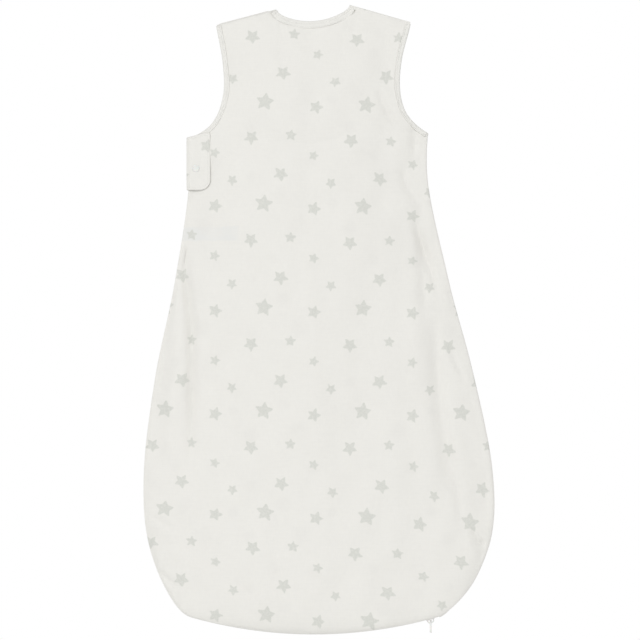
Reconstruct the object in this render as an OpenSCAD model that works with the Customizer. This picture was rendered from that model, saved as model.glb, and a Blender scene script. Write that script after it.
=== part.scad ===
// Baby sleeping bag, hanging by its shoulders, in millimetres.
// +Z is up along the bag, its back faces -Y and its front +Y.
// The origin is midway between the shoulders, level with the neck points.

/* [Bag] */
// Length from the neck points to the hem
bag_length = 700; // [680:5:720]
// Width across the hips
hip_width = 389; // [370:1:410]
// How far each panel stands out from its seams where it is fullest
fullness = 20; // [16:1:24]
// Half the gap between the panels along the zip
zip_rim = 4.4; // [4.2:0.1:5]
// Half the gap between the panels along the sewn seams
seam_rim = 3; // [2.8:0.1:4]

/* [Cloth] */
// Thickness of one layer of jersey
layer = 1; // [0.8:0.1:1.1]
// Gap between the jersey and its lining
layer_gap = 0.3; // [0.2:0.1:0.4]

/* [Neck and armholes] */
// Drop of the back neckline below the neck points
back_neck_drop = 15; // [12:1:20]
// Drop of the front neckline below the neck points
front_neck_drop = 46; // [35:1:55]
// How far each armhole edge stands away from the seam line
armhole_open = 6; // [4:1:8]
// Depth of the neck binding on the cloth
neck_binding_depth = 7.5; // [6:0.5:9]
// Depth of the armhole bindings on the cloth
armhole_binding_depth = 5; // [4:0.5:6]

/* [Zip] */
// Radius of the hem, which the slider follows
hem_radius = 500; // [490:5:520]
// Thickness of the zip's coil
coil_depth = 1.6; // [1.4:0.1:1.8]
// Depth of the zip tape that is sewn to the lining
tape_depth = 12; // [8:1:15]
// Angle of the closed slider from straight down, about the hem's centre
slider_angle = 15; // [10:0.5:15.5]
// Length of the slider
slider_length = 10; // [8:0.5:10]
// Length of the slider's pull below its pivot
pull_length = 13; // [12:0.5:20]

/* [Underarm tab] */
// Reach of the tab across the back
tab_reach = 24; // [22:1:30]
// Height of the tab at its fold
tab_height = 59; // [50:1:62]

/* [Shoulder flap] */
// Depth of the shoulder flap on the front
flap_depth = 28; // [26:1:32]

/* [Poppers] */
// Radius of a popper's cap
cap_r = 4.2; // [3.8:0.1:4.8]
// Radius of a popper's post
post_r = 1.5; // [1.2:0.1:1.7]

/* [Hidden] */

$fn = 48;
BACK = -1;
FRONT = 1;
jersey = [0.93, 0.92, 0.90];
trim = [0.90, 0.90, 0.89];
tape_white = [0.88, 0.88, 0.88];
plastic = [0.95, 0.95, 0.94];

// Grid of a panel: columns across, rows down, the first of them beside the armholes
cols = 16;
shoulder_cols = 5;
arm_rows = 7;
rows = 23;
arm_v = arm_rows / rows;
neck_u = shoulder_cols / cols;
row_ease = 1.35;            // closer rows towards the hem
full_v = 0.75;              // where the panels are fullest

// The outline was drawn for a bag 700 long and 389 across the hips
long = bag_length / 700;
wide = hip_width / 389;
shoulder_tip = [[-108, -23.5], [107, -20]];
neck_point = [[-42, -6], [40, -1]];
// Each curve has a lead-in point before its first and a lead-out point after its last
left_armhole = [[-113, 10], [-108, -23.5], [-101, -62], [-100, -99], [-112, -131], [-139, -150], [-170, -160]];
right_armhole = [[112, 15], [107, -20], [97, -60], [95, -95], [103, -122], [125, -142], [155, -152]];
left_side = [[-139, -110], [-139, -150], [-140, -212], [-155, -310], [-176, -412], [-189, -520],
    [-183, -602], [-152, -669.6], [-115, -686]];
right_side = [[125, -100], [125, -142], [127, -205], [150, -310], [177, -412], [198, -520],
    [194, -602], [154, -667], [85, -655]];

// Hem: an arc about hem_centre that curls up at both corners
hem_centre = [0, -bag_length + hem_radius];
hem_ends = [-152 * wide, 154 * wide];
hem_true = 137 * wide;      // the arc is true this far either side
hem_curl = 0.03;

half_cloth = layer + layer_gap / 2;
cloth_gap = layer_gap / 2;

function mix(a, b, t) = a + (b - a) * t;
function smooth(t) = let (c = max(0, min(1, t))) c * c * (3 - 2 * c);
function unit(v) = v / norm(v);
function sized(p) = [p[0] * wide, p[1] * long];

// Catmull-Rom curve through a list, t from 0 to 1 between its second and its last but one point
function spline(p, t) =
    let (n = len(p) - 3, s = min(floor(t * n), n - 1), f = t * n - s,
        a = p[s], b = p[s + 1], c = p[s + 2], d = p[s + 3])
    0.5 * (2 * b + (c - a) * f + (2 * a - 5 * b + 4 * c - d) * f * f
        + (3 * b - a - 3 * c + d) * f * f * f);

// Edges of a panel as [x, half gap, z]
function hem_z(x) =
    hem_centre[1] - sqrt(hem_radius * hem_radius - x * x) + hem_curl * pow(max(0, abs(x) - hem_true), 2);
function hem(u) = let (x = mix(hem_ends[0], hem_ends[1], u)) [x, zip_rim, hem_z(x)];
function edge(armhole, side, v) =
    v <= arm_v ? sized(spline(armhole, v / arm_v))
    : sized(spline(side, 1 - pow(1 - (v - arm_v) / (1 - arm_v), row_ease)));
function arm_gap(v) = v < arm_v ? armhole_open * sin(180 * v / arm_v) : 0;
function left_edge(v) = let (p = edge(left_armhole, left_side, v)) [p[0], zip_rim + arm_gap(v), p[1]];
function right_edge(v) =
    let (p = edge(right_armhole, right_side, v))
    [p[0], mix(seam_rim, zip_rim, smooth((v - 0.85) / 0.15)) + arm_gap(v), p[1]];
function neckline(t, side) =
    let (p = mix(sized(neck_point[0]), sized(neck_point[1]), t),
        drop = side == BACK ? back_neck_drop : front_neck_drop,
        round = side == BACK ? 0.6 : 0.55,
        stand = side == BACK ? 2 : 4)
    [p[0], mix(zip_rim, seam_rim, t) + stand * sin(180 * t), p[1] - drop * pow(sin(180 * t), round)];
function top_edge(u, side) =
    let (l0 = sized(shoulder_tip[0]), l1 = sized(neck_point[0]),
        r0 = sized(neck_point[1]), r1 = sized(shoulder_tip[1]))
    u <= neck_u ? let (p = mix(l0, l1, u / neck_u)) [p[0], zip_rim, p[1]]
    : u < 1 - neck_u ? neckline((u - neck_u) / (1 - 2 * neck_u), side)
    : let (p = mix(r0, r1, (u - 1 + neck_u) / neck_u)) [p[0], seam_rim, p[1]];

// A panel's middle surface, blended between its four edges, and filled out between them
function flat(u, v, side) =
    (1 - v) * top_edge(u, side) + v * hem(u) + (1 - u) * left_edge(v) + u * right_edge(v)
    - (1 - u) * (1 - v) * left_edge(0) - u * (1 - v) * right_edge(0)
    - (1 - u) * v * hem(0) - u * v * hem(1);
function filling(u, v) =
    let (down = v < full_v ? 1 - pow(1 - v / full_v, 2)
            : sqrt(max(0, 1 - pow((v - full_v) / (1 - full_v), 2))),
        round = mix(1, 0.7, smooth((v - arm_v) / (full_v - arm_v))))
    fullness * down * pow(max(0, 4 * u * (1 - u)), round);
function at(side, u, v, off = 0) =
    let (p = flat(u, v, side)) [p[0], side * (p[1] + filling(u, v) + off), p[2]];

function quad(a, b, c, d) = [[a, b, c], [a, c, d]];
function flipped(faces) = [for (f = faces) [f[2], f[1], f[0]]];
function joined(lists) = [for (l = lists) each l];

// One layer of a panel, from the offset inner to the offset outer of its middle surface
module cloth(side, inner, outer) {
    n = (cols + 1) * (rows + 1);
    function id(i, j) = j * (cols + 1) + i;
    points = [for (off = [outer, inner]) for (j = [0 : rows]) for (i = [0 : cols])
        at(side, i / cols, j / rows, off)];
    faces = joined([
        for (j = [0 : rows - 1]) for (i = [0 : cols - 1])
            let (a = id(i, j), b = id(i + 1, j), c = id(i + 1, j + 1), d = id(i, j + 1))
            concat(quad(a, d, c, b), quad(a + n, b + n, c + n, d + n)),
        for (i = [0 : cols - 1])
            let (a = id(i, 0), b = id(i + 1, 0), c = id(i + 1, rows), d = id(i, rows))
            concat(quad(a + n, a, b, b + n), quad(d + n, c + n, c, d)),
        for (j = [0 : rows - 1])
            let (a = id(0, j), d = id(0, j + 1), b = id(cols, j), c = id(cols, j + 1))
            concat(quad(a, a + n, d + n, d), quad(b, c, c + n, b + n))
    ]);
    polyhedron(points, side == FRONT ? faces : flipped(faces), convexity = 6);
}

// Solid through a list of rings, each wound anticlockwise when its path comes towards the eye
module rings_solid(rings) {
    k = len(rings[0]);
    last = (len(rings) - 1) * k;
    sides = joined([for (r = [0 : len(rings) - 2]) for (p = [0 : k - 1])
        let (a = r * k + p, b = r * k + (p + 1) % k)
        quad(a, a + k, b + k, b)]);
    ends = [[for (p = [0 : k - 1]) p], [for (p = [0 : k - 1]) last + k - 1 - p]];
    polyhedron(joined(rings), concat(sides, ends), convexity = 6);
}

// Binding folded over the edge of a panel, along the (u, v) places in a list; step leads into the cloth
binding_in = half_cloth + 0.35;
binding_out = binding_in + 0.7;
module binding(side, places, depth, step) {
    section = [[-1, -binding_out], [depth, -binding_out], [depth, -binding_in], [-0.2, -binding_in],
        [-0.2, binding_in], [depth, binding_in], [depth, binding_out], [-1, binding_out]];
    n = len(places);
    rings_solid([for (i = [0 : n - 1])
        let (q = places[i], p = at(side, q[0], q[1]),
            ahead = at(side, places[min(i + 1, n - 1)][0], places[min(i + 1, n - 1)][1]),
            behind = at(side, places[max(i - 1, 0)][0], places[max(i - 1, 0)][1]),
            along = unit(ahead - behind),
            into = unit(at(side, q[0] + step[0], q[1] + step[1]) - p),
            inward = unit(into - (into * along) * along),
            up = cross(along, inward))
        [for (s = section) p + s[0] * inward + s[1] * up]]);
}

// Band along the rim between the panels, from depth d0 to d1 inwards and from y0 to y1
function rim_normal(path, i) =
    let (t = unit(path[min(i + 1, len(path) - 1)] - path[max(i - 1, 0)])) [-t[1], t[0]];
function rim_offset(path, d) = [for (i = [0 : len(path) - 1]) path[i] + d * rim_normal(path, i)];
module prism_y(points, y0, y1) {
    translate([0, y1, 0]) rotate([90, 0, 0]) linear_extrude(y1 - y0) polygon(points);
}
module rim_band(path, d0, d1, y0, y1) {
    back_again = rim_offset(path, d1);
    n = len(back_again);
    prism_y(concat(rim_offset(path, d0), [for (i = [0 : n - 1]) back_again[n - 1 - i]]), y0, y1);
}
module mirrored_band(side, path, d0, d1, y0, y1) {
    rim_band(path, d0, d1, side == FRONT ? y0 : -y1, side == FRONT ? y1 : -y0);
}

function xz(p) = [p[0], p[2]];
left_rim = [for (j = [arm_rows : rows]) xz(left_edge(j / rows))];
hem_rim = [for (i = [1 : cols - 1]) xz(hem(i / cols))];
// The right side runs upwards, so that inwards is on the same hand all the way round
right_rim = [for (j = [0 : rows - arm_rows]) xz(right_edge(1 - j / rows))];
zip_path = concat(left_rim, hem_rim);
zip_start = -153;
binding_clear = 3;          // from the zip's start to its tape, under the armhole binding's end
zip_end = [for (i = [cols - 1 : cols]) xz(hem(i / cols))];

tape_in = coil_depth + 0.05;
tape_thick = 0.6;
coil_y = [0.7, 2];
tape_leg_y = [zip_rim - half_cloth - 0.75, zip_rim - half_cloth - 0.15];
pin_length = 13;
stop_length = 3;
stop_from_coil = [0.8, 0.2];
guard_depth = [4.6, 5.4];
garage_depth = [-1.4, -0.1];
past_bag = 20;              // more than the bag's half depth

// Keeps what lies below a height
module below(z) {
    intersection() {
        children();
        translate([-hip_width, -past_bag, -2 * bag_length])
            cube([2 * hip_width, 2 * past_bag, 2 * bag_length + z]);
    }
}

module back_panel() { color(jersey) cloth(BACK, cloth_gap, half_cloth); }
module back_lining() { color(trim) cloth(BACK, -half_cloth, -cloth_gap); }
module front_panel() { color(jersey) cloth(FRONT, cloth_gap, half_cloth); }
module front_lining() { color(trim) cloth(FRONT, -half_cloth, -cloth_gap); }

neck_places = [for (i = [shoulder_cols : cols - shoulder_cols]) [i / cols, 0]];
left_arm_places = [for (j = [0 : arm_rows]) [0, j / rows]];
right_arm_places = [for (j = [0 : arm_rows]) [1, j / rows]];
module neck_binding() {
    color(trim) for (side = [BACK, FRONT]) binding(side, neck_places, neck_binding_depth, [0, 0.02]);
}
module armhole_binding_right() {
    color(trim) for (side = [BACK, FRONT])
        binding(side, right_arm_places, armhole_binding_depth, [-0.02, 0]);
}
module armhole_binding_left(side) {
    color(trim) binding(side, left_arm_places, armhole_binding_depth, [0.02, 0]);
}
module armhole_binding_left_back() { armhole_binding_left(BACK); }
module armhole_binding_left_front() { armhole_binding_left(FRONT); }

// Seam allowances inside the sewn edges
seam_half = seam_rim - half_cloth - 0.25;
module side_seam() {
    top = xz(right_edge(arm_v + 0.02));
    path = concat([for (j = [3 : rows - arm_rows - 1]) right_rim[j]], [top]);
    color(trim) rim_band(path, 0.5, 7, -seam_half, seam_half);
}
module shoulder_seam() {
    a = xz(top_edge(1 - 0.85 * neck_u, FRONT));
    b = xz(top_edge(1 - 0.1 * neck_u, FRONT));
    color(trim) prism_y([a - [0, 0.5], b - [0, 0.5], b - [0, 6], a - [0, 6]], -seam_half, seam_half);
}

module zip_tape(side) {
    color(tape_white) below(zip_start - binding_clear) {
        mirrored_band(side, zip_path, tape_in, tape_in + tape_thick, coil_y[0], tape_leg_y[1]);
        mirrored_band(side, zip_path, tape_in + tape_thick, tape_depth, tape_leg_y[0], tape_leg_y[1]);
    }
}
module zip_tape_back() { zip_tape(BACK); }
module zip_tape_front() { zip_tape(FRONT); }

module zip_coil(side) {
    color(plastic) below(zip_start - pin_length)
        mirrored_band(side, zip_path, 0, coil_depth, coil_y[0], coil_y[1]);
}
module zip_coil_back() { zip_coil(BACK); }
module zip_coil_front() { zip_coil(FRONT); }

// Top end of the zip, where it comes apart
module zip_end_piece(y0, y1) {
    color(plastic) intersection() {
        rim_band(left_rim, 0, coil_depth, y0, y1);
        translate([-hip_width, -past_bag, zip_start - pin_length + 0.2])
            cube([2 * hip_width, 2 * past_bag, pin_length - 0.2]);
    }
}
module zip_box() { zip_end_piece(-2.2, -0.3); }
module zip_pin() { zip_end_piece(0.1, 1.9); }

// The stops stand just past the closed slider
module zip_end_stops() {
    a = zip_path[len(zip_path) - 1] + stop_from_coil;
    b = a + stop_length * unit(zip_end[1] - zip_end[0]);
    color(plastic) for (side = [BACK, FRONT]) mirrored_band(side, [a, b], 0, coil_depth, coil_y[0], 2.4);
}
module zip_guard() {
    color(trim) below(zip_start - binding_clear)
        rim_band(zip_path, guard_depth[0], guard_depth[1], 0.4 - tape_leg_y[0], tape_leg_y[0] - 0.2);
}
module zip_garage() {
    a = zip_path[len(zip_path) - 1] + [5, 1.8];
    color(jersey) rim_band([a, zip_end[1], right_rim[1]], garage_depth[0], garage_depth[1], -zip_rim, zip_rim);
}

// Slider, drawn at the hem's lowest point and turned to its closed place
plate = 1.2;
bridge_span = 3.8;
bridge_top = 5.1;
pivot_out = 2.7;
module at_slider() {
    translate([hem_centre[0], 0, hem_centre[1]]) rotate([0, -slider_angle, 0])
        translate([0, 0, -hem_radius]) children();
}
module box(x, y, z) { translate([x[0], y[0], z[0]]) cube([x[1] - x[0], y[1] - y[0], z[1] - z[0]]); }
module slider_body() {
    half = slider_length / 2;
    color(plastic) at_slider() {
        difference() {
            box([-half, half], [-2.9, 2.9], [-0.3 - plate, coil_depth - 0.4]);
            box([-half - 1, half + 1], [-2.3, 2.3], [-0.3, coil_depth]);
        }
        box([-half, half - 3], [-0.4, 0.4], [-0.4, 2.7]);
        box([-half, half - 1], [-1.7, 1.7], [2.6, 3.6]);
    }
}
module slider_bridge() {
    color(plastic) at_slider() difference() {
        box([-bridge_span, bridge_span], [-1, 1], [-bridge_top, -0.3 - plate]);
        box([1.2 - bridge_span, bridge_span - 1.2], [-2, 2], [1.2 - bridge_top, 0]);
    }
}
pivot = hem_centre + (hem_radius + pivot_out) * [sin(slider_angle), -cos(slider_angle)];
module slider_pull() {
    color(plastic) translate([pivot[0], 0, pivot[1]]) {
        translate([0, 3, 0]) rotate([90, 0, 0]) cylinder(h = 6, r = 0.7);
        for (s = [-1, 1]) box([-0.7, 0.7], s > 0 ? [1.5, 3] : [-3, -1.5], [-6.5, 0]);
        box([-1.2, 1.2], [-3, 3], [2 - pull_length, -6]);
        translate([-1.2, 0, 3 - pull_length]) rotate([0, 90, 0]) cylinder(h = 2.4, r = 3);
    }
}

// Popper heights above the cloth that it fastens to
stud_base = [0.05, 0.55];
post = [0.5, 1.6];
socket = [0.75, 1.85];
facing = [1.9, 2.8];
outer = [3, 3.9];
fold_mid = (facing[0] + outer[1]) / 2;
fold_room = 1.9;            // from a fold line to the piece that is sewn down
module popper_cap() {
    translate([0, 0, outer[1] + 0.05]) rotate_extrude()
        polygon([[0, 0], [cap_r, 0], [cap_r, 0.3], [cap_r - 0.5, 0.7], [cap_r - 1.5, 0.7],
            [cap_r - 1.8, 0.4], [0, 0.4]]);
}
module popper_socket() {
    translate([0, 0, socket[0]]) difference() {
        cylinder(h = socket[1] - socket[0], r = cap_r - 0.6);
        translate([0, 0, -1]) cylinder(h = 3, r = post_r + 0.35);
    }
}
module popper_stud() {
    translate([0, 0, stud_base[0]]) cylinder(h = stud_base[1] - stud_base[0], r = cap_r - 0.6);
    translate([0, 0, post[0]]) cylinder(h = post[1] - post[0], r = post_r);
}
module popper_ring() {
    translate([0, 0, -2 * half_cloth - 1.1]) difference() {
        cylinder(h = 0.5, r = cap_r - 0.6);
        translate([0, 0, -1]) cylinder(h = 3, r = post_r);
    }
}

// Underarm tab: it comes round the left side from the front and lies on the back.
// Its own frame has its origin on the back's face at the rim, X across the tab, Y up, Z off the cloth.
tab_top = -147 * long;
tab_v = arm_v + 0.06;
tab_near = at(BACK, 0.005, tab_v, half_cloth);
tab_far = at(BACK, 0.08, tab_v, half_cloth);
tab_tilt = atan2(tab_far[1] - tab_near[1], tab_far[0] - tab_near[0]);
tab_origin = [left_edge(tab_v)[0], tab_near[1], tab_top];
tab_fold_x = -3.2;                  // the fold lies this far outside the rim
tab_snap = [8, -34.5];
module at_tab() { translate(tab_origin) rotate([0, 0, tab_tilt]) rotate([90, 0, 0]) children(); }
function arc(centre, r, a0, a1, n) =
    [for (i = [0 : n]) let (a = mix(a0, a1, i / n)) centre + r * [cos(a), sin(a)]];
tab_outline = concat([[tab_fold_x + 0.5, 0], [tab_reach - 2, 5]],
    arc([tab_reach - 10, -42], 12, 0, -75, 8), [[tab_fold_x + 0.5, -tab_height]]);
module tab_layer(z) { at_tab() translate([0, 0, z[0]]) linear_extrude(z[1] - z[0]) polygon(tab_outline); }
module tab_outer() { color(jersey) tab_layer(outer); }
module tab_facing() { color(trim) tab_layer(facing); }
module at_tab_snap() { at_tab() translate([tab_snap[0], tab_snap[1], 0]) children(); }
module tab_popper_cap() { color(plastic) at_tab_snap() popper_cap(); }
module tab_popper_socket() { color(plastic) at_tab_snap() popper_socket(); }
module tab_popper_stud() { color(plastic) at_tab_snap() popper_stud(); }
module tab_popper_ring() { color(plastic) at_tab_snap() popper_ring(); }

// Strip of even thickness along a path, as a flat outline
function strip(path, thick) =
    let (n = len(path) - 1, right = rim_offset(path, thick / 2), left = rim_offset(path, -thick / 2))
    concat(left, [for (i = [0 : n]) right[n - i]]);

// Sewn end of the tab on the front, and its turn round the side to the fold
module tab_root() {
    rim_x = tab_origin[0];
    thick = outer[1] - facing[0];
    bend = 4;
    x0 = rim_x + tab_fold_x;
    front_y = -tab_near[1] + fold_mid;
    slope = -tan(tab_tilt);
    path = concat([[rim_x + 18, front_y + 18 * slope], [x0 + bend + 0.5, front_y + 1]],
        [for (a = [100 : 20 : 180]) [x0 + bend, front_y - bend + 0.8] + bend * [cos(a), sin(a)]],
        [[x0, tab_near[1] - fold_mid + fold_room]]);
    color(jersey) translate([0, 0, tab_top - tab_height + 1])
        linear_extrude(tab_height - 1) polygon(strip(path, thick));
}

// Left shoulder: the back's end turns over the shoulder and lies on the front as a flap.
// Its own frame has its origin on the front's face at the shoulder tip, X along the shoulder
// to the neck, Y up, Z off the cloth.
shoulder_a = sized(shoulder_tip[0]);
shoulder_b = sized(neck_point[0]);
shoulder_slope = atan2(shoulder_b[1] - shoulder_a[1], shoulder_b[0] - shoulder_a[0]);
shoulder_len = norm(shoulder_b - shoulder_a);
flap_lean = 10;
flap_y = zip_rim + half_cloth;
flap_snaps = [[17, -16], [41, -16]];
module at_flap() {
    translate([shoulder_a[0], flap_y, shoulder_a[1]]) rotate([0, -shoulder_slope, 0]) rotate([flap_lean, 0, 0])
        mirror([0, 1, 0]) rotate([90, 0, 0]) children();
}
flap_outline = concat([[3, 0.3], [shoulder_len - 8, 0.3]],
    arc([shoulder_len - 25, 8 - flap_depth], 8, 0, -90, 6), arc([11, 8 - flap_depth], 8, -90, -180, 6));
module flap_layer(z) { at_flap() translate([0, 0, z[0]]) linear_extrude(z[1] - z[0]) polygon(flap_outline); }
module flap_outer() { color(jersey) flap_layer(outer); }
module flap_facing() { color(trim) flap_layer(facing); }
module at_flap_snaps() { at_flap() for (s = flap_snaps) translate([s[0], s[1], 0]) children(); }
module flap_popper_caps() { color(plastic) at_flap_snaps() popper_cap(); }
module flap_popper_sockets() { color(plastic) at_flap_snaps() popper_socket(); }
module flap_popper_studs() { color(plastic) at_flap_snaps() popper_stud(); }
module flap_popper_rings() { color(plastic) at_flap_snaps() popper_ring(); }
module shoulder_fold() {
    thick = outer[1] - facing[0];
    y1 = flap_y + fold_mid - fold_room;
    section = concat([[-flap_y, 0.2], [y1, 0.2]], arc([y1 - thick, 0.2], thick, 0, 90, 4),
        arc([thick - flap_y, 0.2], thick, 90, 180, 4));
    color(jersey) translate([shoulder_a[0], 0, shoulder_a[1]]) rotate([0, -shoulder_slope, 0])
        translate([3, 0, 0]) rotate([90, 0, 90]) linear_extrude(shoulder_len - 11) polygon(section);
}

// Labels
care_size = [61, 0.4, 15];
care_tilt = 7.5;            // keeps the label off the back lining
neck_label_corner = [-13.5, -5.6, -49];
module care_label() {
    root = left_edge(arm_v + 0.16);
    color("white") translate([root[0] + tape_depth - 4.5, -1.4, root[2] - 8])
        rotate([0, 0, -care_tilt]) cube(care_size);
}
module neck_label() {
    color("white") translate(neck_label_corner) cube([20, 0.5, 22]);
}

back_panel();
back_lining();
front_panel();
front_lining();
neck_binding();
armhole_binding_right();
armhole_binding_left_back();
armhole_binding_left_front();
side_seam();
shoulder_seam();
zip_tape_back();
zip_tape_front();
zip_coil_back();
zip_coil_front();
zip_box();
zip_pin();
zip_end_stops();
zip_guard();
zip_garage();
slider_body();
slider_bridge();
slider_pull();
tab_root();
tab_outer();
tab_facing();
tab_popper_cap();
tab_popper_socket();
tab_popper_stud();
tab_popper_ring();
shoulder_fold();
flap_outer();
flap_facing();
flap_popper_caps();
flap_popper_sockets();
flap_popper_studs();
flap_popper_rings();
care_label();
neck_label();
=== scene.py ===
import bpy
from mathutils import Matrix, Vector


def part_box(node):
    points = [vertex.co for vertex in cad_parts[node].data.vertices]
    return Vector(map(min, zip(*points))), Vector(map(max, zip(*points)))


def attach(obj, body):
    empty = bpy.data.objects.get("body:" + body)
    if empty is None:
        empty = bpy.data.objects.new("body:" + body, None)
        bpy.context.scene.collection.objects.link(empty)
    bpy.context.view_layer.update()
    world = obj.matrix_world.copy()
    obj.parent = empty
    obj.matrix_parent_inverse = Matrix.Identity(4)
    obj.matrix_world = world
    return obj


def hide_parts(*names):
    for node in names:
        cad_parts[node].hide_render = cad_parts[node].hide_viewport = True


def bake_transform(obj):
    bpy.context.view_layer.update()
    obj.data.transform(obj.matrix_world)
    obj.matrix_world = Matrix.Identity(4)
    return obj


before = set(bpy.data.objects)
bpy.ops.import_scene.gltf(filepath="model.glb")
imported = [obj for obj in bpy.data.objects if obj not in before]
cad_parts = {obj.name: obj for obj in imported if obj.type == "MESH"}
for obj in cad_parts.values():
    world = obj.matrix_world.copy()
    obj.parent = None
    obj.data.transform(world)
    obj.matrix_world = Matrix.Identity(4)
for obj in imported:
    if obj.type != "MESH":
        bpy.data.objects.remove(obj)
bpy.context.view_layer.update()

import math

import bmesh
import bpy
import numpy as np
from mathutils import Vector

bl_info = {
    "name": "Baby sleeping bag",
    "version": (1, 0, 0),
    "blender": (4, 5, 0),
    "location": "View3D > Sidebar > Sleeping bag",
    "description": "Sews the jersey, bindings, poppers and zip of a baby sleeping bag round its CAD frame",
    "category": "Object",
}

MM = 0.001
BACK, FRONT = -1, 1

# ---------------------------------------------------------------- outline
# The CAD's outline, in millimetres: [x, z] points of each edge, with a lead-in and a lead-out point.
SHOULDER_TIP = np.array([[-108, -23.5], [107, -20]])
NECK_POINT = np.array([[-42, -6], [40, -1]])
LEFT_ARMHOLE = [(-113, 10), (-108, -23.5), (-101, -62), (-100, -99), (-112, -131), (-139, -150), (-170, -160)]
RIGHT_ARMHOLE = [(112, 15), (107, -20), (97, -60), (95, -95), (103, -122), (125, -142), (155, -152)]
LEFT_SIDE = [(-139, -110), (-139, -150), (-140, -212), (-155, -310), (-176, -412), (-189, -520),
             (-183, -602), (-152, -669.6), (-115, -686)]
RIGHT_SIDE = [(125, -100), (125, -142), (127, -205), (150, -310), (177, -412), (198, -520),
              (194, -602), (154, -667), (85, -655)]
NECK_U = 5 / 16             # share of a panel's width that is shoulder
ARM_V = 7 / 23              # share of its rows beside the armhole
ROW_EASE = 1.35
FULL_V = 0.75
FULLNESS = 20
ZIP_RIM, SEAM_RIM, ARM_GAP = 4.4, 3.0, 6
HEM_CENTRE_Z, HEM_RADIUS = -200, 500
HEM_ENDS, HEM_TRUE, HEM_CURL = (-152, 154), 137, 0.03
JERSEY_OFF = 0.65           # middle of the jersey above the middle of both layers
HALF_CLOTH = 1.15
EDGE_INSET = 0.9            # a turned edge bulges by this much, so its panel starts this far inside


def mix(a, b, t):
    return a + (b - a) * t


def smooth(t):
    t = np.clip(t, 0, 1)
    return t * t * (3 - 2 * t)


def unit(v):
    return v / np.maximum(np.linalg.norm(v, axis=-1, keepdims=True), 1e-12)


def spline(points, t):
    """Catmull-Rom curve from the second point at t = 0 to the last but one at t = 1."""
    p = np.array(points, float)
    n = len(p) - 3
    s = np.minimum(np.floor(np.clip(t, 0, 1) * n).astype(int), n - 1)
    f = (np.clip(t, 0, 1) * n - s)[..., None]
    a, b, c, d = p[s], p[s + 1], p[s + 2], p[s + 3]
    return 0.5 * (2 * b + (c - a) * f + (2 * a - 5 * b + 4 * c - d) * f ** 2 + (3 * b - a - 3 * c + d) * f ** 3)


def side_edge(armhole, side, v):
    """[x, z] down one side of a panel, the armhole first."""
    above = spline(armhole, v / ARM_V)
    below = spline(side, 1 - (1 - np.clip((v - ARM_V) / (1 - ARM_V), 0, 1)) ** ROW_EASE)
    return np.where((v <= ARM_V)[..., None], above, below)


def left_edge(v):
    p = side_edge(LEFT_ARMHOLE, LEFT_SIDE, v)
    gap = ZIP_RIM + np.where(v < ARM_V, ARM_GAP * np.sin(math.pi * v / ARM_V), 0)
    return np.stack([p[..., 0], gap, p[..., 1]], -1)


def right_edge(v):
    p = side_edge(RIGHT_ARMHOLE, RIGHT_SIDE, v)
    gap = mix(SEAM_RIM, ZIP_RIM, smooth((v - 0.85) / 0.15))
    gap = gap + np.where(v < ARM_V, ARM_GAP * np.sin(math.pi * v / ARM_V), 0)
    return np.stack([p[..., 0], gap, p[..., 1]], -1)


def hem(u):
    x = mix(HEM_ENDS[0], HEM_ENDS[1], u)
    z = HEM_CENTRE_Z - np.sqrt(HEM_RADIUS ** 2 - x ** 2) + HEM_CURL * np.maximum(0, abs(x) - HEM_TRUE) ** 2
    return np.stack([x, np.full_like(x, ZIP_RIM), z], -1)


def top_edge(u, side):
    """Left shoulder, neckline and right shoulder of a panel."""
    drop, round_, stand = (15, 0.6, 2) if side == BACK else (46, 0.55, 4)
    t = np.clip((u - NECK_U) / (1 - 2 * NECK_U), 0, 1)
    across = np.sin(math.pi * t)
    neck = mix(NECK_POINT[0], NECK_POINT[1], t[..., None])
    neck_z = neck[..., 1] - drop * np.maximum(across, 0) ** round_
    neck_y = mix(ZIP_RIM, SEAM_RIM, t) + stand * across
    left = mix(SHOULDER_TIP[0], NECK_POINT[0], np.clip(u / NECK_U, 0, 1)[..., None])
    right = mix(NECK_POINT[1], SHOULDER_TIP[1], np.clip((u - 1 + NECK_U) / NECK_U, 0, 1)[..., None])
    on_left, on_right = u <= NECK_U, u >= 1 - NECK_U
    x = np.where(on_left, left[..., 0], np.where(on_right, right[..., 0], neck[..., 0]))
    z = np.where(on_left, left[..., 1], np.where(on_right, right[..., 1], neck_z))
    y = np.where(on_left, ZIP_RIM, np.where(on_right, SEAM_RIM, neck_y))
    return np.stack([x, y, z], -1)


def outward(edge, s):
    """Unit direction out of the bag in the x-z plane, beside an edge given as a function of s."""
    d = edge(np.clip(s + 1e-3, 0, 1)) - edge(np.clip(s - 1e-3, 0, 1))
    return unit(np.stack([d[..., 2], np.zeros_like(s), -d[..., 0]], -1))


def flat_panel(u, v, side):
    """Coons patch between a panel's four edges: x, half gap, z."""
    uu, vv = u[..., None], v[..., None]
    zero, one = np.zeros_like(u), np.ones_like(u)
    p = ((1 - vv) * top_edge(u, side) + vv * hem(u) + (1 - uu) * left_edge(v) + uu * right_edge(v)
         - (1 - uu) * (1 - vv) * left_edge(zero) - uu * (1 - vv) * right_edge(zero)
         - (1 - uu) * vv * hem(zero) - uu * vv * hem(one))
    below = smooth((v - ARM_V) / 0.03)[..., None]
    left = -outward(left_edge, v) * EDGE_INSET * below * (1 - uu) ** 6
    right = outward(right_edge, v) * EDGE_INSET * below * uu ** 6
    bottom = -outward(hem, u) * EDGE_INSET * vv ** 8 * (1 - (1 - uu) ** 6 - uu ** 6)
    return p + left + right + bottom


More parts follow.
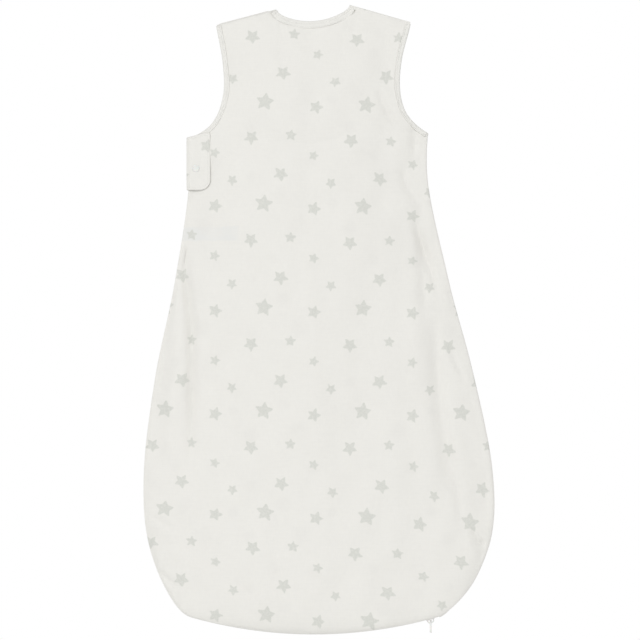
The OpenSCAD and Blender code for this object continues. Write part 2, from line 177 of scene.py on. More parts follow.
def filling(u, v):
    """How far a panel stands out between its edges."""
    down = np.where(v < FULL_V, 1 - (1 - v / FULL_V) ** 2,
                    np.sqrt(np.maximum(0, 1 - ((v - FULL_V) / (1 - FULL_V)) ** 2)))
    round_ = mix(1, 0.7, smooth((v - ARM_V) / (FULL_V - ARM_V)))
    return FULLNESS * down * np.maximum(0, 4 * u * (1 - u)) ** round_


# ---------------------------------------------------------------- folds
# Soft folds of the hanging cloth: [x, z] points, height off the panel's outer side and half width, in millimetres
BACK_FOLDS = [
    ([(-147, -236), (-142.6, -300), (-136, -359), (-136, -470), (-140, -540)], -6.0, 5.5),
    ([(-156, -290), (-152, -360), (-156, -440), (-166, -520)], 3.8, 10),
    ([(96, -178), (101.4, -196.6), (115.8, -224)], -2.6, 5),
    ([(108, -226), (116, -256), (128.1, -288), (140, -330)], -4.6, 5),
    ([(117, -190), (119, -240), (121, -300), (124, -360)], -3.4, 7),
    ([(133, -330), (137, -400), (144, -480), (150, -560)], -4.4, 8),
    ([(146, -372), (158, -396), (170, -424)], -1.6, 4),
    ([(144, -460), (158, -530), (166, -590)], -3.0, 6),
    ([(104, -300), (112, -380), (120, -470)], 1.6, 14),
    ([(172, -580), (182, -594), (193, -604)], -3.0, 3),
    ([(168, -592), (183, -616)], 1.4, 4),
    ([(-184, -566), (-152.6, -587)], -2.0, 4),
    ([(-180, -574), (-150, -597)], 1.6, 5),
    ([(-176, -626), (-149, -651)], -2.0, 4),
    ([(69, -84), (74, -103), (81, -120), (96, -140)], -2.0, 4),
    ([(106, -130), (112, -146), (111, -170)], -2.0, 4.5),
    ([(-60, -60), (-66, -120), (-80, -190)], -1.1, 11),
    ([(30, -60), (26, -130), (10, -220)], 0.9, 20),
    ([(-80, -236), (-74, -262), (-70, -300), (-69, -330)], -1.0, 4),
    ([(-20, -300), (-32, -420), (-40, -560)], 1.2, 22),
    ([(50, -280), (60, -400), (76, -540)], -1.3, 20),
    ([(-90, -330), (-98, -450), (-104, -560)], -1.2, 16),
]
FRONT_FOLDS = [
    ([(-122, -200), (-128, -300), (-138, -420), (-146, -520)], -2.2, 9),
    ([(-104, -150), (-96, -200), (-88, -280)], -1.6, 8),
    ([(108, -140), (104, -190), (112, -270), (126, -370)], -2.0, 9),
    ([(60, -70), (66, -120), (84, -150)], -1.4, 7),
    ([(-58, -70), (-64, -116), (-84, -142)], -1.4, 7),
    ([(0, -60), (4, -160), (-6, -300)], 0.8, 24),
    ([(-44, -260), (-54, -400), (-60, -560)], -1.1, 20),
    ([(52, -230), (58, -380), (76, -540)], 1.0, 24),
    ([(152, -420), (158, -500), (150, -590)], -1.6, 9),
    ([(-176, -590), (-146, -610)], -1.2, 5),
    ([(178, -560), (150, -588)], -1.2, 5),
]
RIPPLES = np.random.default_rng(364)
RIPPLE_TABLE = {side: RIPPLES.random((22, 4)) for side in (BACK, FRONT)}


def along_fold(points, x, z):
    """Distance from a polyline, and the share of its length, for each place."""
    p = np.array(points, float)
    lengths = np.linalg.norm(np.diff(p, axis=0), axis=1)
    start = np.concatenate([[0], np.cumsum(lengths)])
    best, share = np.full(x.shape, 1e9), np.zeros(x.shape)
    for (ax, az), (bx, bz), length, done in zip(p[:-1], p[1:], lengths, start):
        t = np.clip(((x - ax) * (bx - ax) + (z - az) * (bz - az)) / length ** 2, 0, 1)
        far = np.hypot(x - ax - t * (bx - ax), z - az - t * (bz - az))
        nearer = far < best
        best = np.where(nearer, far, best)
        share = np.where(nearer, (done + t * length) / start[-1], share)
    return best, share


def folds(side, x, z, u, v):
    """Height of the folds and ripples over the smooth panel."""
    height = np.zeros(np.shape(x))
    for points, depth, half_width in BACK_FOLDS if side == BACK else FRONT_FOLDS:
        far, share = along_fold(points, x, z)
        height = height + depth * np.exp(-(far / half_width) ** 2) * smooth(share / 0.3) * smooth((1 - share) / 0.3)
    for turn, size, phase, kind in RIPPLE_TABLE[side]:
        angle = math.pi * (0.5 + 0.9 * (turn - 0.5) ** 3 * 4)
        wave = mix(28, 120, size ** 1.5)
        along = x * math.sin(angle) + z * math.cos(angle) * 0.8
        height = height + 0.075 * wave ** 0.45 * kind * np.sin(2 * math.pi * (along / wave + phase)
                                                               + 1.7 * np.sin(z / (60 + 90 * size) + 6 * phase))
    beside_zip = np.minimum(u * 330, (1 - v) * 520)
    pucker = np.sin(2 * math.pi * (z * 0.8 + x * 0.6) / 17 + 2 * np.sin(z / 31)) * np.exp(-(beside_zip / 9) ** 2)
    height = height + 0.3 * pucker * smooth((v - ARM_V) / 0.1)
    edge = smooth(u / 0.02) * smooth((1 - u) / 0.02) * smooth(v / 0.02) * smooth((1 - v) / 0.02)
    return height * edge


def cloth(side, u, v):
    """Middle of a panel's two layers, in millimetres."""
    u, v = np.broadcast_arrays(np.asarray(u, float), np.asarray(v, float))
    p = flat_panel(u, v, side)
    y = p[..., 1] + filling(u, v) + folds(side, p[..., 0], p[..., 2], u, v)
    return np.stack([p[..., 0], side * y, p[..., 2]], -1)


def cloth_normal(side, u, v, step=1e-3):
    """Unit direction off the outer face."""
    du = cloth(side, np.clip(u + step, 0, 1), v) - cloth(side, np.clip(u - step, 0, 1), v)
    dv = cloth(side, u, np.clip(v + step, 0, 1)) - cloth(side, u, np.clip(v - step, 0, 1))
    return side * unit(np.cross(du, dv))


def off_cloth(side, u, v, height):
    return cloth(side, u, v) + cloth_normal(side, u, v) * height


# ---------------------------------------------------------------- meshes
def add_mesh(name, points, faces, uv=None, materials=(), which=None, mend=False):
    """A mesh object from points in millimetres, with a cloth UV map and smooth faces."""
    mesh = bpy.data.meshes.new(name)
    mesh.from_pydata((np.asarray(points, float) * MM).tolist(), [], [list(map(int, f)) for f in faces])
    for material in materials:
        mesh.materials.append(material)
    if which is not None:
        mesh.polygons.foreach_set("material_index", np.asarray(which, np.int32))
    if uv is not None:
        layer = mesh.uv_layers.new(name="cloth")
        corner = np.zeros(len(mesh.loops), np.int32)
        mesh.loops.foreach_get("vertex_index", corner)
        layer.data.foreach_set("uv", (np.asarray(uv, float)[corner] * MM).astype(np.float32).ravel())
    if mend:
        work = bmesh.new()
        work.from_mesh(mesh)
        bmesh.ops.remove_doubles(work, verts=work.verts, dist=2e-6)
        bmesh.ops.dissolve_degenerate(work, edges=work.edges, dist=1e-7)
        bmesh.ops.recalc_face_normals(work, faces=work.faces)
        work.to_mesh(mesh)
        work.free()
    mesh.polygons.foreach_set("use_smooth", [True] * len(mesh.polygons))
    mesh.update()
    made = bpy.data.objects.new(name, mesh)
    bpy.context.scene.collection.objects.link(made)
    return made


def grid_faces(rows, cols, start=0, flip=False, closed=False):
    """Quads of a grid whose points run along its columns first."""
    found = []
    for j in range(rows - 1):
        for i in range(cols if closed else cols - 1):
            a, b = start + j * cols + i, start + j * cols + (i + 1) % cols
            quad = (a, b, b + cols, a + cols)
            found.append(quad[::-1] if flip else quad)
    return found


def sweep(name, rings, uv, materials, closed=False, which=None, mend=True):
    """A solid through closed rings, its ends capped unless the path closes on itself."""
    rings = np.asarray(rings, float)
    n, k = rings.shape[:2]
    faces = grid_faces(n, k, closed=True)
    if closed:
        faces += [((n - 1) * k + i, (n - 1) * k + (i + 1) % k, (i + 1) % k, i) for i in range(k)]
    else:
        faces += [tuple(range(k))[::-1], tuple(range((n - 1) * k, n * k))]
    return add_mesh(name, rings.reshape(-1, 3), faces, np.asarray(uv).reshape(-1, 2), materials, which, mend)


def lathe(profile, segments=40):
    """Points and faces of a turned part about Z, from a closed profile of [radius, height]."""
    profile = np.array(profile, float)
    turn = np.linspace(0, 2 * math.pi, segments, endpoint=False)
    rings = np.stack([np.stack([profile[:, 0] * math.cos(a), profile[:, 0] * math.sin(a), profile[:, 1]], -1)
                      for a in turn])
    k = len(profile)
    faces = grid_faces(segments, k, closed=True)
    faces += [((segments - 1) * k + i, (segments - 1) * k + (i + 1) % k, (i + 1) % k, i) for i in range(k)]
    return rings.reshape(-1, 3), faces


def even(points, step):
    """A polyline again, with points about step apart."""
    p = np.asarray(points, float)
    done = np.concatenate([[0], np.cumsum(np.linalg.norm(np.diff(p, axis=0), axis=1))])
    at = np.linspace(0, done[-1], max(3, int(round(done[-1] / step)) + 1))
    return np.stack([np.interp(at, done, p[:, k]) for k in range(p.shape[1])], -1), at


def averaged(values, reach, closed=False):
    """Moving average along the first axis."""
    mode = "wrap" if closed else "edge"
    padded = np.pad(values, [(reach, reach)] + [(0, 0)] * (values.ndim - 1), mode=mode)
    return sum(padded[i:i + len(values)] for i in range(2 * reach + 1)) / (2 * reach + 1)


# ---------------------------------------------------------------- panels
def columns(count):
    """Places across a panel, closest together beside its sides, with the neck points among them."""
    k = int(count * 0.34)
    outer = NECK_U * np.linspace(0, 1, k) ** 1.7
    middle = np.linspace(NECK_U, 1 - NECK_U, count - 2 * k + 2)
    return np.concatenate([outer, middle[1:-1], (1 - outer)[::-1]])


def lines(count):
    """Places down a panel, with the underarm among them."""
    k = int(count * 0.28)
    below = 1 - (1 - np.linspace(0, 1, count - k + 1)[1:]) ** 1.2
    return np.concatenate([np.linspace(0, ARM_V, k), ARM_V + (1 - ARM_V) * below])


def turned_rows(side, u, v, height, inner_y, allowance, bulge=1.0):
    """Rows of points that turn a panel's edge round and back inside it, with how far each is along the turn."""
    edge = off_cloth(side, u, v, height)
    inside = off_cloth(side, np.clip(u, 0.012, 0.988), np.clip(v, 0.006, 0.994), height)
    along = unit(averaged(np.gradient(edge, axis=0), 3))
    y = np.array([0, side, 0.0])
    out = np.stack([along[:, 2], np.zeros(len(along)), -along[:, 0]], -1)
    out = unit(out)
    out = out * np.sign(np.sum(out * (edge - cloth(side, u * 0.6 + 0.2, v * 0.6 + 0.2)), axis=1))[:, None]
    out = unit(averaged(out, 3))
    leaving = unit(edge - inside)
    lean = np.arctan2(-leaving @ y, np.maximum(np.sum(leaving * out, axis=1), 1e-3))
    lean = averaged(np.clip(lean, 0, math.radians(80)), 4)
    radius = np.maximum(0.25, (edge @ y - inner_y) / (1 + np.cos(lean)))
    rows, done = [], []
    for step in np.linspace(0, 1, 8)[1:]:
        angle = lean + (math.pi - lean) * step
        rows.append(edge + (radius * (np.sin(angle) - np.sin(lean)) * bulge)[:, None] * out
                    + (radius * (np.cos(angle) - np.cos(lean)))[:, None] * y)
        done.append(radius * (angle - lean))
    for back in (0.35, 0.7, 1):
        rows.append(rows[6] - out * allowance * back)
        done.append(done[6] + allowance * back)
    return np.array(rows), np.array(done), out


def cut_panel(name, side, materials, height, size, thick, edges):
    """One layer of a panel, with its edges turned in."""
    cols, rows = size
    us, vs = columns(cols), lines(rows)
    cols, rows = len(us), len(vs)
    u, v = np.meshgrid(us, vs)
    points = [off_cloth(side, u, v, height).reshape(-1, 3)]
    base = flat_panel(u, v, side).reshape(-1, 3)
    uv = [base[:, [0, 2]]]
    faces = grid_faces(rows, cols)
    underarm = int(np.argmin(abs(vs - ARM_V)))
    neck = int(np.argmin(abs(us - NECK_U)))
    last = rows - 1
    routes = {
        "sides": [(0, j) for j in range(underarm, last)] + [(i, last) for i in range(cols - 1)]
                 + [(cols - 1, j) for j in range(last, underarm - 1, -1)],
        "right_shoulder": [(i, 0) for i in range(cols - 1, cols - 2 - neck, -1)],
        "left_shoulder": [(i, 0) for i in range(neck, -1, -1)],
    }
    count = len(points[0])
    for route, inner, allowance, bulge in edges:
        places = routes[route]
        eu, ev = us[[p[0] for p in places]], vs[[p[1] for p in places]]
        turned, done, out = turned_rows(side, eu, ev, height, inner(eu, ev), allowance, bulge)
        before = np.array([p[1] * cols + p[0] for p in places])
        uv_edge = np.concatenate(uv)[before]
        for row, far in zip(turned, done):
            now = count + np.arange(len(places))
            faces += [(now[s], before[s], before[s + 1], now[s + 1]) for s in range(len(places) - 1)]
            points.append(row)
            uv.append(uv_edge + out[:, [0, 2]] * far[:, None])
            before, count = now, count + len(places)
    if side == BACK:
        faces = [f[::-1] for f in faces]
    made = add_mesh(name, np.concatenate(points), faces, np.concatenate(uv), materials)
    shell = made.modifiers.new("thickness", "SOLIDIFY")
    shell.thickness, shell.offset = thick * MM, 0
    return made


def cut_area(side):
    """Area of a panel's outline in square metres, with its turned-in allowance."""
    u, v = np.meshgrid(np.linspace(0, 1, 120), np.linspace(0, 1, 160))
    p = flat_panel(u, v, side)[..., [0, 2]]
    a, b = p[1:, 1:] - p[:-1, :-1], p[1:, :-1] - p[:-1, 1:]
    return float(abs(a[..., 0] * b[..., 1] - a[..., 1] * b[..., 0]).sum() / 2) * 1e-6 + 0.013


def seam_side(u, v):
    """1 along the sewn side, 0 along the zip."""
    return np.where((u > 0.999) & (v < 0.9999), 1 - smooth((v - 0.95) / 0.04), 0)


def inner_jersey(u, v):
    return mix(ZIP_RIM - JERSEY_OFF, JERSEY_OFF, seam_side(u, v))


def inner_zip(u, v):
    return np.full_like(u, ZIP_RIM - JERSEY_OFF)


def inner_jersey_top(u, v):
    return np.full_like(u, JERSEY_OFF)


def over_shoulder(u, v):
    return np.full_like(u, -3.0)


# ---------------------------------------------------------------- bindings
def edge_frames(side, u, v, step):
    """Along an edge: its points, the direction into the cloth, and the direction off its outer face."""
    u, v = np.broadcast_arrays(np.asarray(u, float), np.asarray(v, float))
    p = cloth(side, u, v)
    into = cloth(side, np.clip(u + step[0], 0, 1), np.clip(v + step[1], 0, 1)) - p
    along = unit(np.gradient(p, axis=0))
    into = unit(into - np.sum(into * along, axis=1)[:, None] * along)
    into = unit(averaged(into, 2))
    into = unit(into - np.sum(into * along, axis=1)[:, None] * along)
    off = unit(np.cross(along, into))
    off = off * np.sign(off[:, 1] * side)[:, None]
    return p, into, off


def over_seam(before, after, reach, count=9):
    """Frames that carry a binding over the seam between two panels."""
    (pa, ia), (pb, ib) = [(frames[0][i], frames[1][i]) for frames, i in ((before, -1), (after, 0))]
    ahead = unit(before[0][-1] - before[0][-4])
    half = (pb - pa) / 2
    across = unit(half)
    p, into, off = [], [], []
    for k in range(1, count + 1):
        t = k / (count + 1)
        angle = math.pi * t
        i = unit(mix(ia, ib, t))
        n = -across * math.cos(angle) + ahead * math.sin(angle)
        p.append((pa + pb) / 2 - half * math.cos(angle) + ahead * reach * math.sin(angle))
        into.append(i)
        off.append(unit(n - (n @ i) * i))
    return np.array(p), np.array(into), np.array(off)


def join_frames(*parts):
    return tuple(np.concatenate([part[k] for part in parts]) for k in range(3))


def short_of(frames, cut, at_start=False, at_end=False):
    """Frames without those within cut of an end, where the binding turns over a seam."""
    p = frames[0]
    keep = np.ones(len(p), bool)
    if at_start:
        keep &= np.linalg.norm(p - p[0], axis=1) >= cut
    if at_end:
        keep &= np.linalg.norm(p - p[-1], axis=1) >= cut
    return tuple(part[keep] for part in frames)


def backwards(frames):
    return tuple(part[::-1] for part in frames)


def binding_section(depth, dips):
    """Closed outline of a binding folded over an edge, as [into the cloth, off it], pinched in at its stitch lines."""
    s = np.linspace(depth, 1.25, 15)
    n = 2.15 - 0.5 * sum(np.exp(-((s - d) / 0.6) ** 2) for d in dips)
    n = 1.2 + (n - 1.2) * np.sqrt(1 - (1 - np.clip((depth - s) / 0.6, 0, 1)) ** 2)
    round_ = np.radians(np.linspace(90, 270, 11)[1:-1])
    leg = np.stack([s, n], -1)
    cap = np.stack([1.25 + 2.15 * np.cos(round_), 2.15 * np.sin(round_)], -1)
    inner = np.array([[depth - 0.2, -1.16], [1.2, -1.16], [0.4, 0], [1.2, 1.16], [depth - 0.2, 1.16]])
    return np.concatenate([leg, cap, leg[::-1] * [1, -1], inner])


def sew_binding(name, frames, depth, dips, materials, closed=False):
    p, into, off = frames
    section = binding_section(depth, dips)
    rings = p[:, None] + section[None, :, :1] * into[:, None] + section[None, :, 1:] * off[:, None]
    along = np.concatenate([[0], np.cumsum(np.linalg.norm(np.diff(p, axis=0), axis=1))])
    across = np.concatenate([[0], np.cumsum(np.linalg.norm(np.diff(section, axis=0), axis=1))])
    uv = np.stack(np.meshgrid(along, across, indexing="ij"), -1)
    return sweep(name, rings, uv, materials, closed)


def stitch_runs(frames, dips, height=1.62):
    """Stitch lines on both faces of a binding: points and the way up of each."""
    p, into, off = frames
    return [(p + into * dip + off * height * face, off * face) for dip in dips for face in (1, -1)]


NECK_DIPS, ARM_DIPS = (2.6, 6.2), (3.1,)
NECK_DEPTH, ARM_DEPTH = 7.5, 5.0


def neck_frames():
    t = 0.5 - 0.5 * np.cos(np.linspace(0, math.pi, 90))
    u = mix(NECK_U, 1 - NECK_U, mix(t, np.linspace(0, 1, 90), 0.35))
    back = short_of(edge_frames(BACK, u, 0.0, (0, 0.02)), 1.8, at_end=True)
    front = short_of(backwards(edge_frames(FRONT, u, 0.0, (0, 0.02))), 1.8, at_start=True)
    return join_frames(back, over_seam(back, front, 0.4), front)


def right_arm_frames():
    v = np.linspace(0, ARM_V, 80)
    back = short_of(backwards(edge_frames(BACK, 1.0, v, (-0.02, 0))), 1.2, at_end=True)
    front = short_of(edge_frames(FRONT, 1.0, v, (-0.02, 0)), 1.2, at_start=True)
    return join_frames(back, over_seam(back, front, 0.4), front, over_seam(front, back, 1.0))


def left_arm_frames(side):
    return edge_frames(side, 0.0, np.linspace(0, ARM_V, 80), (0.02, 0))


# ---------------------------------------------------------------- turned strips
def plane_normals(path, turn):
    """Unit directions across a path in its own plane, on the side that turn says."""
    d = unit(np.gradient(path, axis=0))
    return np.stack([-d[:, 1], d[:, 0]], -1) * turn


def no_drop(a, b):
    return 0 * (a + b)


def drop_round(length, reach, snaps, deep=1.25):
    """How far a strip falls back on the cloth under it, away from its poppers, over its free end."""
    def drop(a, b):
        near = np.min([np.hypot(a - sa, b - sb) for sa, sb in snaps], axis=0)
        return deep * smooth((a - length + reach) / 10) * smooth((near - 5) / 7)
    return drop


def turned_strip(name, path, off, across, low, high, thick, uv_of, materials, drop=no_drop, round_edge=1.6, groove=3.0):
    """A strip of two layers along a path, sewn and turned at its edges; low and high bound it across the path."""
    done = np.concatenate([[0], np.cumsum(np.linalg.norm(np.diff(path, axis=0), axis=1))])
    t = np.concatenate([np.linspace(0, 0.1, 9), np.linspace(0.1, 0.9, 26)[1:-1], np.linspace(0.9, 1, 9)])
    lo, hi = low(done), high(done)
    b = lo[:, None] + (hi - lo)[:, None] * t
    end = (done[-1] - done)[:, None] + 0 * b
    edge = np.minimum(np.minimum(b - lo[:, None], hi[:, None] - b), end)
    half = thick / 2 * np.sqrt(1 - (1 - np.clip(edge / round_edge, 0, 1)) ** 2)
    half = half - 0.22 * np.exp(-((edge - groove) / 0.7) ** 2)
    middle = path[:, None] + b[..., None] * across - drop(done[:, None] + 0 * b, b)[..., None] * off[:, None]
    top, bottom = middle + half[..., None] * off[:, None], middle - half[..., None] * off[:, None]
    rows, cols = b.shape
    count = rows * cols
    uv = uv_of(done[:, None] + 0 * b, b)
    over, under = grid_faces(rows, cols), grid_faces(rows, cols, count, flip=True)
    rim = [i for i in range(cols)] + [j * cols + cols - 1 for j in range(1, rows)]
    rim += [(rows - 1) * cols + i for i in range(cols - 2, -1, -1)] + [j * cols for j in range(rows - 2, 0, -1)]
    sides = [(a, b, b + count, a + count) for a, b in zip(rim, rim[1:] + rim[:1])]
    which = [0] * len(over) + [1] * len(under) + [0] * len(sides)
    made = add_mesh(name, np.concatenate([top.reshape(-1, 3), bottom.reshape(-1, 3)]), over + under + sides,
                    np.concatenate([uv.reshape(-1, 2)] * 2), materials, which, mend=True)
    return made


def strip_stitches(path, off, across, low, high, inset, height, start=0.0, drop=no_drop):
    """A stitch line that runs round a strip's edge at an even distance from it."""
    done = np.concatenate([[0], np.cumsum(np.linalg.norm(np.diff(path, axis=0), axis=1))])
    a = np.linspace(start, done[-1] - inset, 60)

    def place(a, b):
        p = np.stack([np.interp(a, done, path[:, k]) for k in range(3)], -1)
        n = unit(np.stack([np.interp(a, done, off[:, k]) for k in range(3)], -1))
        return np.concatenate([p + b[:, None] * across + n * (height - drop(a, b))[:, None], n], -1)
    lower, upper = low(a + inset * 0.3) + inset, high(a) - inset
    end = np.full(24, done[-1] - inset)
    across_end = place(end, np.linspace(lower[-1], upper[-1], 24))
    run = np.concatenate([place(a, lower), across_end, place(a[::-1], upper[::-1])])
    return run[:, :3], run[:, 3:]


# Underarm tab, as the CAD places it
TAB_V = ARM_V + 0.06
TAB_NEAR = cloth(BACK, 0.005, TAB_V) + np.array([0, -HALF_CLOTH, 0])
TAB_FAR = cloth(BACK, 0.08, TAB_V) + np.array([0, -HALF_CLOTH, 0])
TAB_TILT = math.atan2(TAB_FAR[1] - TAB_NEAR[1], TAB_FAR[0] - TAB_NEAR[0])
TAB_TOP, TAB_HEIGHT, TAB_REACH, TAB_FOLD = -147.0, 59.0, 24.0, -3.2
TAB_SNAP = (8.0, -34.5)
FOLD_MID = 2.9              # middle of a folded strip above the cloth it fastens to
STRIP_THICK = 2.0
TAB_X = np.array([math.cos(TAB_TILT), math.sin(TAB_TILT), 0])
TAB_OFF = np.array([math.sin(TAB_TILT), -math.cos(TAB_TILT), 0])
UP = np.array([0, 0, 1.0])
TAB_ORIGIN = np.array([float(left_edge(np.array(TAB_V))[0]), TAB_NEAR[1], TAB_TOP])


def tab_route():
    """Middle of the tab from its sewn end on the front, round the side, to its free end on the back."""
    x0 = TAB_ORIGIN[0] + TAB_FOLD + 1.0
    front = -TAB_ORIGIN[1] + FOLD_MID
    lean = -math.tan(TAB_TILT)
    back = [TAB_ORIGIN + TAB_X * a + TAB_OFF * FOLD_MID for a in (1.2, 6, 12, 18, TAB_REACH)]
    points = [(x0 + 26, front + 24 * lean), (x0 + 17, front + 17 * lean), (x0 + 9, front + 8 * lean),
              (x0 + 3.5, front + 0.6), (x0 + 0.6, front - 2.4), (x0, front - 6), (x0, TAB_ORIGIN[1] + 2.5),
              (x0 + 0.2, TAB_ORIGIN[1] - 0.6)]
    points += [(p[0], p[1]) for p in back]
    points = [2 * np.array(points[0]) - points[1]] + points + [2 * np.array(points[-1]) - points[-2]]
    path, done = even(spline(points, np.linspace(0, 1, 400)), 0.7)
    return np.column_stack([path, np.zeros(len(path))]), done


def tab_bounds(length):
    back = length - TAB_REACH

    def low(a):
        corner = np.clip(1 - (length - a) / 12, 0, 1)
        return TAB_TOP - TAB_HEIGHT + 12 * (1 - np.sqrt(1 - 0.98 * corner ** 2))

    def high(a):
        corner = np.clip(1 - (length - a) / 2.5, 0, 1)
        return TAB_TOP + 5 * smooth((a - back + 4) / TAB_REACH) - 2.5 * (1 - np.sqrt(1 - 0.98 * corner ** 2))
    return low, high


# Shoulder flap, as the CAD places it
SLOPE = math.atan2(NECK_POINT[0][1] - SHOULDER_TIP[0][1], NECK_POINT[0][0] - SHOULDER_TIP[0][0])
SHOULDER_LEN = float(np.linalg.norm(NECK_POINT[0] - SHOULDER_TIP[0]))
FLAP_LEAN = math.radians(10)
FLAP_Y = ZIP_RIM + HALF_CLOTH
FLAP_SIDES = (3.0, SHOULDER_LEN - 8)
FLAP_DEPTH = 28.0
FLAP_SNAPS = ((17.0, -16.0), (41.0, -16.0))
FLAP_X = np.array([math.cos(SLOPE), 0, math.sin(SLOPE)])
FLAP_RISE = np.array([-math.sin(SLOPE), 0, math.cos(SLOPE)])
FLAP_ORIGIN = np.array([SHOULDER_TIP[0][0], FLAP_Y, SHOULDER_TIP[0][1]])
FLAP_UP = FLAP_RISE * math.cos(FLAP_LEAN) - np.array([0, math.sin(FLAP_LEAN), 0])
FLAP_OFF = FLAP_RISE * math.sin(FLAP_LEAN) + np.array([0, math.cos(FLAP_LEAN), 0])


def flap_route():
    """Middle of the flap from the top of the shoulder down over the front, as points in space and directions off it."""
    hang = [np.array([FLAP_Y, 0]) + FOLD_MID * np.array([math.cos(FLAP_LEAN), math.sin(FLAP_LEAN)])
            + a * np.array([math.sin(FLAP_LEAN), -math.cos(FLAP_LEAN)]) for a in (2.5, 8, 14, 20, FLAP_DEPTH)]
    points = [(-2.0, 1.25), (1.5, 1.45), (5.0, 1.4), (7.4, 0.4), *[tuple(h) for h in hang]]
    points = [2 * np.array(points[0]) - points[1]] + points + [2 * np.array(points[-1]) - points[-2]]
    path, done = even(spline(points, np.linspace(0, 1, 300)), 0.7)
    normal = plane_normals(path, 1)
    origin = np.array([SHOULDER_TIP[0][0], 0, SHOULDER_TIP[0][1]])
    along = np.array([0, 1.0, 0])
    in_space = [flat[:, :1] * along + flat[:, 1:] * FLAP_RISE for flat in (path, normal)]
    return origin + in_space[0], in_space[1], done


def flap_bounds(length):
    radius = 8.0

    def corner(a):
        c = np.clip(1 - (length - a) / radius, 0, 1)
        return radius * (1 - np.sqrt(1 - 0.98 * c ** 2))
    return (lambda a: FLAP_SIDES[0] + corner(a)), (lambda a: FLAP_SIDES[1] - corner(a))


# ---------------------------------------------------------------- zip
ZIP_TOP_Z, ZIP_PIN, TAPE_CLEAR = -153.0, 13.0, 3.0
ZIP_END_U = 15 / 16


def rim_path(step=1.2):
    """The zip's rim down the left side and along the hem: [x, z] points and the directions into the bag."""
    left = left_edge(np.linspace(ARM_V, 1, 400))[:, [0, 2]]
    bottom = hem(np.linspace(0, ZIP_END_U, 300))[1:, [0, 2]]
    path, _ = even(np.concatenate([left, bottom]), step)
    return path, unit(averaged(plane_normals(path, 1), 3))


def rim_sweep(name, path, inwards, section, materials, mend=True):
    """A strip along the zip's rim from a closed outline of [depth, y]."""
    section = np.array(section, float)
    xz = path[:, None] + section[None, :, :1] * inwards[:, None]
    rings = np.stack([xz[..., 0], np.broadcast_to(section[:, 1], xz.shape[:2]), xz[..., 1]], -1)
    along = np.concatenate([[0], np.cumsum(np.linalg.norm(np.diff(path, axis=0), axis=1))])
    across = np.concatenate([[0], np.cumsum(np.linalg.norm(np.diff(section, axis=0), axis=1))])
    return sweep(name, rings, np.stack(np.meshgrid(along, across, indexing="ij"), -1), materials, mend=mend)


def rounded(width, height, radius, centre=(0, 0), count=5):
    """Closed outline of a rounded rectangle."""
    found = []
    for k, (sx, sy) in enumerate(((1, 1), (-1, 1), (-1, -1), (1, -1))):
        for a in np.linspace(0, math.pi / 2, count) + k * math.pi / 2:
            found.append((centre[0] + sx * (width / 2 - radius) + radius * math.cos(a),
                          centre[1] + sy * (height / 2 - radius) + radius * math.sin(a)))
    return found


SLIDER_ANGLE = math.radians(15)
SLIDER_HALF = 5.0
PIVOT = np.array([(HEM_RADIUS + 2.7) * math.sin(SLIDER_ANGLE), 0,
                  HEM_CENTRE_Z - (HEM_RADIUS + 2.7) * math.cos(SLIDER_ANGLE)])


def at_slider(points):
    """From the slider's own place at the hem's lowest point to its closed place."""
    p = np.asarray(points, float) + [0, 0, -HEM_RADIUS]
    c, s = math.cos(SLIDER_ANGLE), math.sin(SLIDER_ANGLE)
    return np.stack([p[..., 0] * c - p[..., 2] * s, p[..., 1], HEM_CENTRE_Z + p[..., 0] * s + p[..., 2] * c], -1)


# ---------------------------------------------------------------- repeated shapes
def add_tree(name, sizes):
    """A geometry node tree with a geometry input and output, and named inputs for sizes and the material."""
    tree = bpy.data.node_groups.new(name, "GeometryNodeTree")
    tree.interface.new_socket("Geometry", in_out="INPUT", socket_type="NodeSocketGeometry")
    tree.interface.new_socket("Geometry", in_out="OUTPUT", socket_type="NodeSocketGeometry")
    for size in sizes:
        tree.interface.new_socket(size, in_out="INPUT", socket_type="NodeSocketFloat").subtype = "DISTANCE"
    tree.interface.new_socket("Material", in_out="INPUT", socket_type="NodeSocketMaterial")
    return tree, tree.nodes.new("NodeGroupInput"), tree.nodes.new("NodeGroupOutput")


def tree_node(tree, kind, settings=None, **links):
    made = tree.nodes.new(kind)
    for key, value in (settings or {}).items():
        setattr(made, key, value)
    for key, value in links.items():
        socket = made.inputs[key.replace("_", " ")]
        if isinstance(value, bpy.types.NodeSocket):
            tree.links.new(value, socket)
        else:
            socket.default_value = value
    return made


def spaced_along(tree, given, shape, finish):
    """Copies of a shape at even steps along a path, X along it and Z along its attribute up."""
    curve = tree_node(tree, "GeometryNodeMeshToCurve", Mesh=given.outputs["Geometry"])
    steps = tree_node(tree, "GeometryNodeResampleCurve", {"mode": "LENGTH"},
                      Curve=curve.outputs[0], Length=given.outputs["Pitch"])
    tangent = tree_node(tree, "GeometryNodeInputTangent")
    up = tree_node(tree, "GeometryNodeInputNamedAttribute", {"data_type": "FLOAT_VECTOR"}, Name="up")
    ahead = tree_node(tree, "FunctionNodeAlignRotationToVector", {"axis": "X"}, Vector=tangent.outputs[0])
    stand = tree_node(tree, "FunctionNodeAlignRotationToVector", {"axis": "Z", "pivot_axis": "X"},
                      Rotation=ahead.outputs[0], Vector=up.outputs["Attribute"])
    copies = tree_node(tree, "GeometryNodeInstanceOnPoints",
                       Points=steps.outputs[0], Instance=shape, Rotation=stand.outputs[0])
    real = tree_node(tree, "GeometryNodeRealizeInstances", Geometry=copies.outputs[0])
    painted = tree_node(tree, "GeometryNodeSetMaterial", Geometry=real.outputs[0], Material=given.outputs["Material"])
    tree.links.new(painted.outputs[0], finish.inputs[0])


